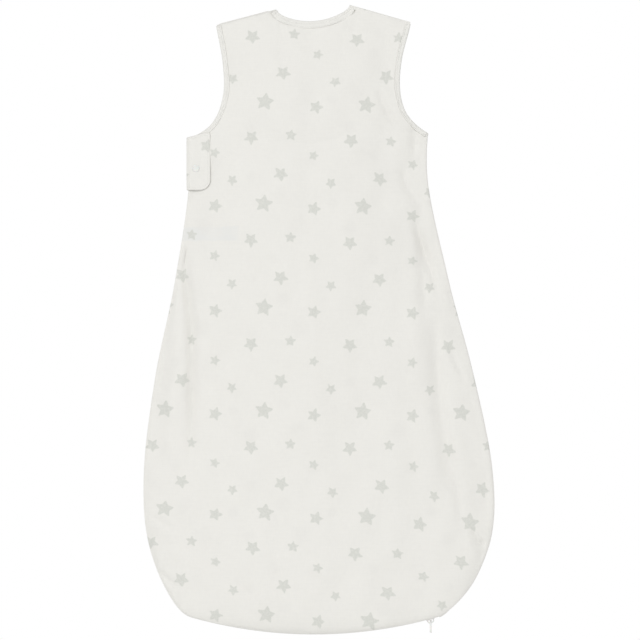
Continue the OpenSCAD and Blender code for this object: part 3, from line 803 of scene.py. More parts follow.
def stitch_tree():
    """A row of stitches: each a small rounded bar of thread."""
    tree, given, finish = add_tree("stitch_row", ("Pitch", "Length", "Width", "Height"))
    ball = tree_node(tree, "GeometryNodeMeshUVSphere", Segments=6, Rings=4, Radius=0.5)
    size = tree_node(tree, "ShaderNodeCombineXYZ",
                     X=given.outputs["Length"], Y=given.outputs["Width"], Z=given.outputs["Height"])
    turn = tree_node(tree, "GeometryNodeTransform", Geometry=ball.outputs[0], Rotation=(0, math.pi / 2, 0))
    shape = tree_node(tree, "GeometryNodeTransform", Geometry=turn.outputs[0], Scale=size.outputs[0])
    spaced_along(tree, given, shape.outputs[0], finish)
    return tree


def coil_tree():
    """A zip's coil: leaning loops of round wire."""
    tree, given, finish = add_tree("zip_coil", ("Pitch", "Wire", "Across", "Depth", "Lean"))
    loop = tree_node(tree, "GeometryNodeCurvePrimitiveCircle", Resolution=10, Radius=0.5)
    upright = tree_node(tree, "GeometryNodeTransform", Geometry=loop.outputs[0], Rotation=(0, math.pi / 2, 0))
    size = tree_node(tree, "ShaderNodeCombineXYZ", X=1.0, Y=given.outputs["Across"], Z=given.outputs["Depth"])
    sized = tree_node(tree, "GeometryNodeTransform", Geometry=upright.outputs[0], Scale=size.outputs[0])
    place = tree_node(tree, "GeometryNodeInputPosition")
    parts = tree_node(tree, "ShaderNodeSeparateXYZ", Vector=place.outputs[0])
    shift = tree_node(tree, "ShaderNodeMath", {"operation": "MULTIPLY"})
    tree.links.new(parts.outputs["Z"], shift.inputs[0])
    tree.links.new(given.outputs["Lean"], shift.inputs[1])
    move = tree_node(tree, "ShaderNodeCombineXYZ", X=shift.outputs[0])
    leaning = tree_node(tree, "GeometryNodeSetPosition", Geometry=sized.outputs[0], Offset=move.outputs[0])
    wire = tree_node(tree, "GeometryNodeCurvePrimitiveCircle", Resolution=5, Radius=given.outputs["Wire"])
    solid = tree_node(tree, "GeometryNodeCurveToMesh", Curve=leaning.outputs[0], **{"Profile_Curve": wire.outputs[0]})
    spaced_along(tree, given, solid.outputs[0], finish)
    return tree


def run_tree(name, runs, tree, values, material):
    """Runs a tree along paths of points in millimetres with their ways up, and keeps the result as a plain mesh."""
    points = np.concatenate([r[0] for r in runs])
    ups = np.concatenate([np.broadcast_to(r[1], r[0].shape) for r in runs])
    edges, start = [], 0
    for r in runs:
        edges += [(start + k, start + k + 1) for k in range(len(r[0]) - 1)]
        start += len(r[0])
    mesh = bpy.data.meshes.new(name + "_path")
    mesh.from_pydata((points * MM).tolist(), edges, [])
    mesh.attributes.new("up", "FLOAT_VECTOR", "POINT").data.foreach_set("vector", ups.astype(np.float32).ravel())
    made = bpy.data.objects.new(name, mesh)
    bpy.context.scene.collection.objects.link(made)
    modifier = made.modifiers.new("along", "NODES")
    modifier.node_group = tree
    sockets = {item.name: item.identifier for item in tree.interface.items_tree if item.in_out == "INPUT"}
    for key, value in {**values, "Material": material}.items():
        modifier[sockets[key]] = value
    seen = made.evaluated_get(bpy.context.evaluated_depsgraph_get())
    plain = bpy.data.meshes.new_from_object(seen)
    made.modifiers.remove(modifier)
    made.data = plain
    plain.polygons.foreach_set("use_smooth", [True] * len(plain.polygons))
    if not len(plain.polygons):
        raise RuntimeError(f"{name} came out empty")
    return made


# ---------------------------------------------------------------- finishes
class Wire:
    """A value in a material's node tree. Sums on it add Math nodes."""

    def __init__(self, finish, socket):
        self.finish, self.socket = finish, socket

    def math(self, operation, *others):
        return self.finish.node("ShaderNodeMath", {"operation": operation}, dict(enumerate((self, *others))))

    def __add__(self, other):
        return self.math("ADD", other)

    def __mul__(self, other):
        return self.math("MULTIPLY", other)

    def __sub__(self, other):
        return self.math("SUBTRACT", other)

    def __truediv__(self, other):
        return self.math("DIVIDE", other)

    def __rsub__(self, other):
        return self.finish.node("ShaderNodeMath", {"operation": "SUBTRACT"}, {0: other, 1: self})

    __radd__, __rmul__ = __add__, __mul__


class Finish:
    """A material while its nodes are laid out."""

    def __init__(self, name):
        self.material = bpy.data.materials.new(name)
        self.material.use_nodes = True
        self.tree = self.material.node_tree
        self.tree.nodes.clear()

    def node(self, kind, settings=None, values=None, out=0):
        made = self.tree.nodes.new(kind)
        for key, value in (settings or {}).items():
            setattr(made, key, value)
        for key, value in (values or {}).items():
            if isinstance(value, Wire):
                self.tree.links.new(value.socket, made.inputs[key])
            else:
                made.inputs[key].default_value = value
        return Wire(self, made.outputs[out])

    def cloth_uv(self):
        return self.node("ShaderNodeUVMap", {"uv_map": "cloth"})

    def place(self):
        return self.node("ShaderNodeTexCoord", out="Object")

    def noise(self, where, scale, detail=2.0, roughness=0.5, out="Fac"):
        values = {"Vector": where, "Scale": scale, "Detail": detail, "Roughness": roughness}
        return self.node("ShaderNodeTexNoise", {}, values, out)

    def ramp(self, value, low, high, to_low=0.0, to_high=1.0, soft=True):
        return self.node("ShaderNodeMapRange", {"interpolation_type": "SMOOTHSTEP" if soft else "LINEAR"},
                         {"Value": value, "From Min": low, "From Max": high, "To Min": to_low, "To Max": to_high})

    def mix(self, amount, a, b):
        return self.node("ShaderNodeMix", {"data_type": "RGBA"}, {0: amount, 6: a, 7: b}, 2)

    def vector(self, operation, a, *others):
        return self.node("ShaderNodeVectorMath", {"operation": operation}, dict(enumerate((a, *others))))

    def parts(self, where):
        return [self.node("ShaderNodeSeparateXYZ", {}, {0: where}, k) for k in (0, 1, 2)]

    def bump(self, height, distance, strength=1.0):
        return self.node("ShaderNodeBump", {}, {"Height": height, "Distance": distance, "Strength": strength})

    def surface(self, values):
        shader = self.node("ShaderNodeBsdfPrincipled", {}, values)
        output = self.tree.nodes.new("ShaderNodeOutputMaterial")
        self.tree.links.new(shader.socket, output.inputs["Surface"])
        return self.material


STAR_REPEAT = (109.6, 114.4)
BIG_STAR = (-56.6, -221.5)
# Stars of one repeat: place from the big star, radius, and angle of a tip, in millimetres and degrees
STARS = (((0, 0), 10.8, 82), ((55.4, -4.4), 8.5, 0), ((-14.3, -41.0), 9.0, -89), ((29.3, -37.0), 6.8, 85),
         ((54.9, -59.4), 6.4, 0), ((18.6, -81.3), 9.0, -12), ((74.3, -89.5), 6.6, -92))
TIP_EDGE_ANGLE = math.radians(63.7)     # of the normal to a star's edge, from the direction of its tip
TIP_EDGE_REACH = 0.443                  # that edge's distance from the centre, for a tip at 1
FRONT_PRINT_SHIFT = (38.0, 24.0)        # the front panel's print, from the back's mirrored one


# Drift of the back's print from a straight repeat, in millimetres to the right or down. These values were fitted
# by least squares in a separate script and rounded. A spread or a tilt is for each 100 mm right of the middle.
PRINT_SHIFT = 1.1
NECK_PULL, NECK_SPREAD, NECK_DROP = 5.5, 5.5, 2.8
HEM_PULL, HEM_SPREAD, HEM_TILT = 4.5, 3.5, 4.8
HEM_SIDE_PULL, HEM_SIDE_DROP = 4.3, 3.3
CHEST_TILT, HIP_TILT_LESS, UNDERARM_DROP = 3.2, 2.0, 7.0


def from_star(f, spot, place):
    """Where each spot is from the nearest repeat of a star, as a vector and a distance."""
    half = (STAR_REPEAT[0] / 2 * MM, STAR_REPEAT[1] / 2 * MM)
    centre = ((BIG_STAR[0] + place[0]) * MM, (BIG_STAR[1] + place[1]) * MM, 0)
    local = f.vector("WRAP", f.vector("SUBTRACT", spot, centre), (half[0], half[1], 1), (-half[0], -half[1], -1))
    far = f.vector("LENGTH", local)
    far.socket = far.socket.node.outputs["Value"]
    return local, far


def star_distance(f, spot):
    """Distance out of the nearest star of the repeat; below nothing inside one."""
    nearest = None
    for place, radius, turn in STARS:
        local, far = from_star(f, spot, place)
        x, y, _ = f.parts(local)
        angle = y.math("ARCTAN2", x) - math.radians(turn)
        folded = angle.math("PINGPONG", math.radians(36)) - TIP_EDGE_ANGLE
        edge = far * folded.math("COSINE") - radius * MM * TIP_EDGE_REACH
        star = edge.math("SMOOTH_MAX", far - radius * MM * 0.9, 0.001)
        nearest = star if nearest is None else nearest.math("MINIMUM", star)
    return nearest


def askew(f, uv):
    """The place on the straight print that each place of the back shows, by the fitted drift."""
    x, z, _ = f.parts(uv)
    x = x * 10      # metres to hundreds of millimetres
    high, low, middle = f.ramp(z, -0.20, -0.02), f.ramp(z * -1, 0.48, 0.64), f.ramp(z * -1, 0.24, 0.36)
    corner = f.ramp(x, 0.5, 1.2) * f.ramp(z, -0.29, -0.20) * f.ramp(z * -1, 0.06, 0.15)
    right = low * f.ramp(x, 0.3, 1.5)
    aside = (high * (x * NECK_SPREAD + NECK_PULL) + low * (x * HEM_SPREAD + HEM_PULL) + right * HEM_SIDE_PULL
             + PRINT_SHIFT)
    down = (x * (CHEST_TILT - middle * HIP_TILT_LESS) + high * NECK_DROP + low * x * HEM_TILT
            + right * HEM_SIDE_DROP + corner * UNDERARM_DROP + PRINT_SHIFT)
    back = f.node("ShaderNodeCombineXYZ", {}, {0: aside * -MM, 1: down * MM})
    return f.vector("ADD", uv, back)


def blurred_spots(f, spot):
    """Soft round marks where stars of the layer behind lie."""
    total = None
    for place, radius, _ in STARS:
        _, far = from_star(f, spot, place)
        mark = f.ramp(far, radius * MM * 0.35, radius * MM * 1.35, 1.0, 0.0)
        total = mark if total is None else total.math("MAXIMUM", mark)
    return total


def mirrored_print(f, uv):
    """The front's print: the back's turned over and moved along."""
    turned = f.vector("MULTIPLY", uv, (-1, 1, 0))
    return f.vector("ADD", turned, (FRONT_PRINT_SHIFT[0] * MM, FRONT_PRINT_SHIFT[1] * MM, 0))


def knit_height(f, uv, wale=0.95, course=0.75):
    """Small V-shaped loops of plain jersey."""
    x, y, _ = f.parts(uv)
    across = (x / (wale * MM)).math("PINGPONG", 0.5) * 2
    rows = ((y / (course * MM)) + across * 0.55) * (2 * math.pi)
    return rows.math("SINE") * 0.35 + (across * math.pi).math("SINE") * 0.65


# The band of painted shade across the back's left side, where the care label lies behind the jersey: each edge fades
# between two places, in metres
BAND_LEFT, BAND_RIGHT = (-0.149, -0.144), (-0.0865, -0.0815)
BAND_FOOT, BAND_HEAD = (-0.2635, -0.2605), (-0.2485, -0.2455)


def jersey_finish(name, colour, star_colour=None, mirrored=False, ghosts=False, label_shade_band=False, lining=False):
    """Cotton jersey, plain or with the star print; on the back also a band of painted shade where the care label lies
    inside.
    """
    f = Finish(name)
    uv = f.cloth_uv()
    mottle = f.noise(f.vector("MULTIPLY", uv, (1, 0.6, 1)), 30, 3) * 0.5 + f.noise(uv, 240, 2) * 0.5
    slub = f.noise(f.vector("MULTIPLY", uv, (900, 120, 1)), 1.0, 2)
    courses = f.noise(f.vector("MULTIPLY", uv, (40, 700, 1)), 1.0, 2)
    lighter, darker = [min(1, c * 1.012) for c in colour], [c * 0.968 for c in colour]
    base = f.mix(f.ramp(mottle * 0.5 + slub * 0.25 + courses * 0.25, 0.25, 0.75), (*darker, 1), (*lighter, 1))
    # Painted shade: a darker bluish band where the care label inside lies behind the jersey, its strength patchy
    if label_shade_band:
        x, z, _ = f.parts(uv)
        wobble = (f.noise(uv, 60, 2) - 0.5) * 0.004
        inside = f.ramp(x + wobble, *BAND_LEFT) * (1 - f.ramp(x + wobble, *BAND_RIGHT))
        inside = inside * f.ramp(z + wobble, *BAND_FOOT) * (1 - f.ramp(z - wobble, *BAND_HEAD))
        band_shade_patchiness = f.ramp(f.noise(uv, 45, 3), 0.3, 0.65, 0.35, 0.8)
        base = f.mix(inside * band_shade_patchiness, base, (colour[0] * 0.945, colour[1] * 0.962, colour[2] * 0.985, 1))
    spot = mirrored_print(f, uv) if mirrored else askew(f, uv) if ghosts else uv
    if ghosts:
        behind = mirrored_print(f, uv)
        base = f.mix(blurred_spots(f, behind) * f.ramp(f.noise(uv, 18, 2), 0.4, 0.62) * 0.055, base,
                     (colour[0] * 0.6, colour[1] * 0.6, colour[2] * 0.62, 1))
    if star_colour is not None:
        ragged = (f.noise(uv, 520, 2) - 0.5) * 0.0012 + (f.noise(uv, 130, 1) - 0.5) * 0.0018
        star = f.ramp(star_distance(f, spot) + ragged, -0.0007, 0.0008, 1.0, 0.0)
        blotch = f.ramp(f.noise(uv, 420, 3, 0.6), 0.28, 0.62, 0.62, 1.0)
        base = f.mix(star * blotch, base, (*star_colour, 1))
    creases = f.noise(f.vector("MULTIPLY", uv, (1, 0.45, 1)), 48, 4, 0.55)
    wear = f.bump(creases, 0.0016, 0.35)
    normal = f.node("ShaderNodeBump", {}, {"Height": knit_height(f, uv), "Distance": 0.00022, "Strength": 0.3,
                                           "Normal": wear})
    roughness = f.ramp(slub, 0.2, 0.8, 0.86, 0.96, soft=False)
    return f.surface({"Base Color": base, "Roughness": roughness, "Normal": normal,
                      "Sheen Weight": 0.12 if lining else 0.18, "Sheen Roughness": 0.5, "Specular IOR Level": 0.25})


def rib_finish(name, colour):
    """Narrow ribbed binding, its ribs across the strip."""
    f = Finish(name)
    uv = f.cloth_uv()
    x, y, _ = f.parts(uv)
    wander = (f.noise(uv, 60, 2) - 0.5) * 0.0006
    rib = ((x + wander) * (2 * math.pi / (1.25 * MM))).math("SINE")
    loops = (y * (2 * math.pi / (0.7 * MM))).math("SINE")
    # Random tone, and painted shade: the rib troughs a little darker in colour, their tops lighter
    shade = f.noise(uv, 140, 3) * 0.7 + f.ramp(rib, -1, 1) * 0.3
    base = f.mix(f.ramp(shade, 0.25, 0.75), (colour[0] * 0.95, colour[1] * 0.95, colour[2] * 0.945, 1), (*colour, 1))
    normal = f.bump(rib * 0.8 + loops * 0.25, 0.00028, 0.5)
    roughness = f.ramp(shade, 0.2, 0.8, 0.95, 0.85, soft=False)
    return f.surface({"Base Color": base, "Roughness": roughness, "Normal": normal,
                      "Sheen Weight": 0.15, "Sheen Roughness": 0.5, "Specular IOR Level": 0.25})


def tape_finish(name, colour):
    """Woven zip tape, a fine herringbone."""
    f = Finish(name)
    uv = f.cloth_uv()
    x, y, _ = f.parts(uv)
    zig = (y / (2.4 * MM)).math("PINGPONG", 0.5) * 2.4 * MM
    weave = ((x + zig) * (2 * math.pi / (0.7 * MM))).math("SINE")
    shade = f.noise(uv, 300, 2)
    # Random tone, and painted shade: the weave's troughs a little darker in colour
    base = f.mix(f.ramp(shade + weave * 0.12, 0.25, 0.75), (*[c * 0.93 for c in colour], 1), (*colour, 1))
    return f.surface({"Base Color": base, "Roughness": f.ramp(weave, -1, 1, 0.7, 0.85, soft=False),
                      "Normal": f.bump(weave, 0.0002, 0.5), "Specular IOR Level": 0.3})


def thread_finish(name, colour, twist=1400):
    """Twisted sewing thread."""
    f = Finish(name)
    where = f.place()
    x, y, z = f.parts(where)
    ply = ((x + y * 0.6 + z * 0.8) * (2 * math.pi * twist)).math("SINE")
    shade = f.noise(where, 900, 2)
    base = f.mix(f.ramp(shade, 0.3, 0.7), (*[c * 0.94 for c in colour], 1), (*colour, 1))
    return f.surface({"Base Color": base, "Roughness": f.ramp(shade, 0.2, 0.8, 0.5, 0.7, soft=False),
                      "Normal": f.bump(ply, 0.0001, 0.3), "Sheen Weight": 0.1})


def moulded_finish(name, colour, gloss=0.32, coat=0.15):
    """Moulded plastic with a faint flow texture and rubbed spots."""
    f = Finish(name)
    where = f.place()
    flow = f.noise(where, 700, 3)
    rubbed = f.noise(where, 160, 2)
    base = f.mix(f.ramp(rubbed, 0.35, 0.7), (*[c * 0.965 for c in colour], 1), (*colour, 1))
    return f.surface({"Base Color": base, "Roughness": f.ramp(flow * 0.5 + rubbed * 0.5, 0.3, 0.7, gloss, gloss + 0.14),
                      "Normal": f.bump(flow, 0.00006, 0.35), "Coat Weight": coat, "Coat Roughness": 0.2,
                      "Subsurface Weight": 0.05, "Subsurface Scale": 0.001})


def label_finish(name, colour):
    """Satin label with a woven edge."""
    f = Finish(name)
    uv = f.cloth_uv()
    x, y, _ = f.parts(uv)
    satin = (y * (2 * math.pi / (0.35 * MM))).math("SINE")
    # Random tone, and painted sheen and shade: the satin lines lighter on their tops and darker between
    shade = f.noise(uv, 260, 2) * 0.7 + f.ramp(satin, -1, 1) * 0.3
    base = f.mix(f.ramp(shade, 0.2, 0.8), (*[c * 0.95 for c in colour], 1), (*colour, 1))
    return f.surface({"Base Color": base, "Roughness": f.ramp(shade, 0.2, 0.8, 0.42, 0.6, soft=False),
                      "Normal": f.bump(satin, 0.00008, 0.4), "Sheen Weight": 0.2})


def floor_finish(name, colour):
    """Matt painted studio floor, fading into the white room."""
    f = Finish(name)
    where = f.place()
    x, y, _ = f.parts(where)
    shown = f.ramp((x * x + y * y).math("SQRT"), 0.9, 2.2, 1.0, 0.0)
    shade = f.noise(where, 6, 3)
    base = f.mix(f.ramp(shade, 0.3, 0.7), (*[c * 0.985 for c in colour], 1), (*colour, 1))
    return f.surface({"Base Color": base, "Roughness": f.ramp(shade, 0.3, 0.7, 0.75, 0.85),
                      "Normal": f.bump(shade, 0.0004, 0.1), "Alpha": shown})


# ---------------------------------------------------------------- settings
def colour_prop(name, description, default):
    return bpy.props.FloatVectorProperty(name=name, description=description, default=default,
                                         size=3, min=0, max=1, subtype="COLOR")


def size_prop(name, description, default, low, high):
    return bpy.props.FloatProperty(name=name, description=description, default=default, min=low, max=high,
                                   subtype="DISTANCE", unit="LENGTH", precision=5)


class SleepingBagCloth(bpy.types.PropertyGroup):
    """The jersey, its lining and its print."""
    jersey: colour_prop("Jersey", "Colour of the outer jersey", (0.812, 0.803, 0.768))
    stars: colour_prop("Stars", "Colour of the printed stars", (0.655, 0.662, 0.622))
    lining: colour_prop("Lining", "Colour of the plain lining", (0.82, 0.815, 0.79))
    thickness: size_prop("Thickness", "Thickness of one layer of jersey", 0.001, 0.0006, 0.0015)


class SleepingBagTrim(bpy.types.PropertyGroup):
    """Bindings, stitches and labels."""
    binding: colour_prop("Binding", "Colour of the neck and armhole bindings", (0.85, 0.842, 0.808))
    thread: colour_prop("Thread", "Colour of the stitches", (0.8, 0.795, 0.765))
    label: colour_prop("Labels", "Colour of the blank labels", (0.8, 0.8, 0.79))
    stitch_pitch: size_prop("Stitch pitch", "From one stitch to the next", 0.0031, 0.002, 0.005)
    stitch_length: size_prop("Stitch length", "Length of one stitch", 0.0024, 0.001, 0.004)


class SleepingBagFastenings(bpy.types.PropertyGroup):
    """Zip, slider and poppers."""
    coil: colour_prop("Coil", "Colour of the zip's coil", (0.78, 0.78, 0.76))
    tape: colour_prop("Tape", "Colour of the zip's tape", (0.76, 0.76, 0.74))
    slider: colour_prop("Slider", "Colour of the slider and its pull", (0.82, 0.82, 0.8))
    popper: colour_prop("Poppers", "Colour of the poppers", (0.78, 0.78, 0.755))
    coil_pitch: size_prop("Coil pitch", "From one loop of the coil to the next", 0.0016, 0.001, 0.003)


class SleepingBagStudio(bpy.types.PropertyGroup):
    """Floor, lights and camera."""
    floor: colour_prop("Floor", "Colour of the floor", (0.9, 0.9, 0.895))
    floor_height: size_prop("Floor height", "Height of the floor under the hanging bag", -0.86, -2.0, -0.7)
    camera_distance: size_prop("Camera distance", "From the camera to the bag", 6.0, 2.0, 12.0)
    fill: bpy.props.FloatProperty(name="Fill light", description="Strength of the light from all round",
                                  default=0.6, min=0, max=2)
    key: bpy.props.FloatProperty(name="Key light", description="Power of the large lamp behind the camera",
                                 default=59, min=0, max=500, unit="POWER")


SETTINGS = {"bag_cloth": SleepingBagCloth, "bag_trim": SleepingBagTrim,
            "bag_fastenings": SleepingBagFastenings, "bag_studio": SleepingBagStudio}
FINISHES = {}


def finishes(scene):
    """Every material of the bag, made once from the scene's settings."""
    if not FINISHES:
        c, t, z = scene.bag_cloth, scene.bag_trim, scene.bag_fastenings
        jersey, stars = tuple(c.jersey), tuple(c.stars)
        FINISHES.update(
            back=jersey_finish("jersey_back_print_and_shade", jersey, stars, ghosts=True, label_shade_band=True),
            front=jersey_finish("jersey_front_print", jersey, stars, mirrored=True),
            print=jersey_finish("jersey_print", jersey, stars),
            plain=jersey_finish("jersey_plain", jersey),
            lining=jersey_finish("lining_plain", tuple(c.lining), lining=True),
            binding=rib_finish("rib_binding", tuple(t.binding)),
            thread=thread_finish("sewing_thread", tuple(t.thread)),
            label=label_finish("satin_label", tuple(t.label)),
            tape=tape_finish("zip_tape_weave", tuple(z.tape)),
            coil=moulded_finish("zip_coil_nylon", tuple(z.coil), 0.35, 0.1),
            slider=moulded_finish("slider_enamel", tuple(z.slider), 0.28, 0.35),
            popper=moulded_finish("popper_plastic", tuple(z.popper), 0.36, 0.12),
        )
    return FINISHES


def area_sheet(name, side, materials, height, size, thick, edges, node):
    made = cut_panel(name, side, materials, height, size, thick, edges)
    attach(made, "bag")
    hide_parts(*node)
    cut_area(side)
    return made


# ---------------------------------------------------------------- operators
class SewPiece:
    bl_options = {"REGISTER", "UNDO"}


class BAG_OT_jersey(SewPiece, bpy.types.Operator):
    """Cut the back and front panels of star-print jersey"""
    bl_idname = "bag.jersey"
    bl_label = "Jersey panels"

    def execute(self, context):
        paint, thick = finishes(context.scene), context.scene.bag_cloth.thickness / MM
        size = (150, 236)
        sides = ("sides", inner_jersey, 5.5, 1.0)
        right = ("right_shoulder", inner_jersey_top, 5.0, 0.7)
        area_sheet("back_jersey", BACK, [paint["back"]], JERSEY_OFF, size, thick,
                   [sides, right, ("left_shoulder", over_shoulder, 1.0, 0.32)],
                   ("back_panel", "side_seam", "shoulder_seam", "shoulder_fold"))
        area_sheet("front_jersey", FRONT, [paint["front"]], JERSEY_OFF, size, thick,
                   [sides, right, ("left_shoulder", inner_zip, 6.0, 0.8)], ("front_panel",))
        return {"FINISHED"}


class BAG_OT_lining(SewPiece, bpy.types.Operator):
    """Cut the plain lining panels"""
    bl_idname = "bag.lining"
    bl_label = "Lining panels"

    def execute(self, context):
        paint, thick = finishes(context.scene), context.scene.bag_cloth.thickness / MM
        for side, name in ((BACK, "back"), (FRONT, "front")):
            area_sheet(name + "_lining_cloth", side, [paint["lining"]], -JERSEY_OFF, (96, 150), thick * 0.9, [],
                       (name + "_lining",))
        return {"FINISHED"}


class BAG_OT_bindings(SewPiece, bpy.types.Operator):
    """Bind the neck and the armholes"""
    bl_idname = "bag.bindings"
    bl_label = "Bindings"

    def execute(self, context):
        paint = finishes(context.scene)
        neck, arm = (NECK_DEPTH, NECK_DIPS), (ARM_DEPTH, ARM_DIPS)
        jobs = [("neck_band", neck_frames(), *neck, False, "neck_binding"),
                ("armhole_band_right", right_arm_frames(), *arm, True, "armhole_binding_right"),
                ("armhole_band_left_back", left_arm_frames(BACK), *arm, False, "armhole_binding_left_back"),
                ("armhole_band_left_front", left_arm_frames(FRONT), *arm, False, "armhole_binding_left_front")]
        runs = []
        for name, frames, depth, dips, closed, node in jobs:
            made = sew_binding(name, frames, depth, dips, [paint["binding"]], closed)
            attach(made, "bag")
            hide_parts(node)
            runs += stitch_runs(frames, dips)
        trim = context.scene.bag_trim
        sizes = {"Pitch": trim.stitch_pitch, "Length": trim.stitch_length, "Width": 0.0006, "Height": 0.00045}
        made = run_tree("binding_stitches", runs, stitch_tree(), sizes, paint["thread"])
        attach(made, "bag")
        return {"FINISHED"}


class BAG_OT_underarm_tab(SewPiece, bpy.types.Operator):
    """Sew the popper tab that comes round the left side from the front"""
    bl_idname = "bag.underarm_tab"
    bl_label = "Underarm tab"

    def execute(self, context):
        paint = finishes(context.scene)
        path, done = tab_route()
        off = plane_normals(path[:, :2], -1)
        off = np.column_stack([off, np.zeros(len(off))])
        low, high = tab_bounds(done[-1])

        def uv_of(a, b):
            return np.stack([TAB_ORIGIN[0] + TAB_REACH - (done[-1] - a) + 121.5 - 4.2, b + 157 - 225.9], -1)
        drop = drop_round(done[-1], TAB_REACH - 5, [(done[-1] - TAB_REACH + TAB_SNAP[0], TAB_TOP + TAB_SNAP[1])])
        made = turned_strip("underarm_tab_cloth", path, off, UP, low, high, STRIP_THICK, uv_of,
                            [paint["print"], paint["lining"]], drop)
        run = strip_stitches(path, off, UP, low, high, 2.9, 0.82, done[-1] - TAB_REACH - 14, drop)
        seam = strip_stitches(path, -off, UP, low, high, 2.9, 0.82, done[-1] - TAB_REACH + 4)
        trim = context.scene.bag_trim
        sizes = {"Pitch": trim.stitch_pitch, "Length": trim.stitch_length, "Width": 0.00055, "Height": 0.0004}
        stitches = run_tree("underarm_tab_stitches", [run, seam], stitch_tree(), sizes, paint["thread"])
        hinge = about(-142.34, -8.05, -177)
        for piece in (made, stitches):
            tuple(hinge(-0.2, 3.2, 0))
            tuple(hinge(1.6, -3.0, 0))
            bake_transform(piece)
        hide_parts("tab_root", "tab_outer", "tab_facing")
        return {"FINISHED"}


class BAG_OT_shoulder_flap(SewPiece, bpy.types.Operator):
    """Sew the flap that turns over the left shoulder and fastens on the front"""
    bl_idname = "bag.shoulder_flap"
    bl_label = "Shoulder flap"

    def execute(self, context):
        paint = finishes(context.scene)
        path, off, done = flap_route()
        low, high = flap_bounds(done[-1])

        def uv_of(a, b):
            return np.stack([SHOULDER_TIP[0][0] + b, SHOULDER_TIP[0][1] + 5 + a + b * math.sin(SLOPE)], -1)
        drop = drop_round(done[-1], FLAP_DEPTH - 3, [(done[-1] - FLAP_DEPTH - snap[1], snap[0]) for snap in FLAP_SNAPS])
        made = turned_strip("shoulder_flap_cloth", path, off, FLAP_X, low, high, STRIP_THICK, uv_of,
                            [paint["print"], paint["lining"]], drop)
        run = strip_stitches(path, off, FLAP_X, low, high, 2.9, 0.82, 3.5, drop)
        trim = context.scene.bag_trim
        sizes = {"Pitch": trim.stitch_pitch, "Length": trim.stitch_length, "Width": 0.00055, "Height": 0.0004}
        stitches = run_tree("shoulder_flap_stitches", [run], stitch_tree(), sizes, paint["thread"])
        hinge = about(-75.20, 8.35, -13.98)
        for piece in (made, stitches):
            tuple(hinge(-0.4, -3.4, 2.4))
            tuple(hinge(0.3, 1.2, -2.6))
            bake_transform(piece)
        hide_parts("flap_outer", "flap_facing")
        done[-1] * MM
        return {"FINISHED"}


def popper_profiles():
    """Turned outlines of a popper's four parts, as [radius, height above the cloth it fastens to]."""
    cap = [(0, 3.95), (4.1, 3.95), (4.2, 4.05), (4.17, 4.3), (4.0, 4.52), (3.7, 4.64), (3.3, 4.66), (2.95, 4.55),
           (2.75, 4.38), (2.3, 4.3), (1.2, 4.32), (0, 4.34)]
    socket = [(1.85, 0.85), (1.95, 0.75), (3.4, 0.75), (3.58, 0.9), (3.6, 1.5), (3.3, 1.8), (2.5, 1.85), (2.1, 1.7),
              (1.85, 1.6)]
    stud = [(0, 0.05), (3.5, 0.05), (3.6, 0.15), (3.55, 0.4), (3.2, 0.55), (1.7, 0.58), (1.35, 0.75), (1.3, 1.1),
            (1.5, 1.35), (1.4, 1.52), (1.0, 1.62), (0, 1.6)]
    ring = [(1.5, -3.35), (1.6, -3.42), (3.4, -3.42), (3.6, -3.3), (3.58, -3.05), (3.3, -2.93), (1.8, -2.9),
            (1.5, -3.0)]
    return {"cap": cap, "socket": socket, "stud": stud, "ring": ring}


def fit_poppers(names, origin, x, y, off, snaps, material, bodies):
    profiles = popper_profiles()
    for part, name in names.items():
        points, faces, start = [], [], 0
        for snap in snaps:
            ring, ring_faces = lathe(profiles[part])
            centre = origin + x * snap[0] + y * snap[1]
            points.append(centre + ring[:, :1] * x + ring[:, 1:2] * y + ring[:, 2:] * off)
            faces += [tuple(np.array(f) + start) for f in ring_faces]
            start += len(ring)
        made = add_mesh(name + "_turned", np.concatenate(points), faces, None, [material], mend=True)
        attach(made, bodies[part])
        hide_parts(name)


class BAG_OT_poppers(SewPiece, bpy.types.Operator):
    """Fit the poppers of the tab and the flap"""
    bl_idname = "bag.poppers"
    bl_label = "Poppers"

    def execute(self, context):
        plastic = finishes(context.scene)["popper"]
        fit_poppers({"cap": "tab_popper_cap", "socket": "tab_popper_socket",
                     "stud": "tab_popper_stud", "ring": "tab_popper_ring"},
                    TAB_ORIGIN, TAB_X, UP, TAB_OFF, [TAB_SNAP], plastic,
                    {"cap": "underarm_tab", "socket": "underarm_tab", "stud": "bag", "ring": "bag"})
        fit_poppers({"cap": "flap_popper_caps", "socket": "flap_popper_sockets",
                     "stud": "flap_popper_studs", "ring": "flap_popper_rings"},
                    FLAP_ORIGIN, FLAP_X, FLAP_UP, FLAP_OFF, FLAP_SNAPS, plastic,
                    {"cap": "shoulder_flap", "socket": "shoulder_flap", "stud": "bag", "ring": "bag"})
        return {"FINISHED"}


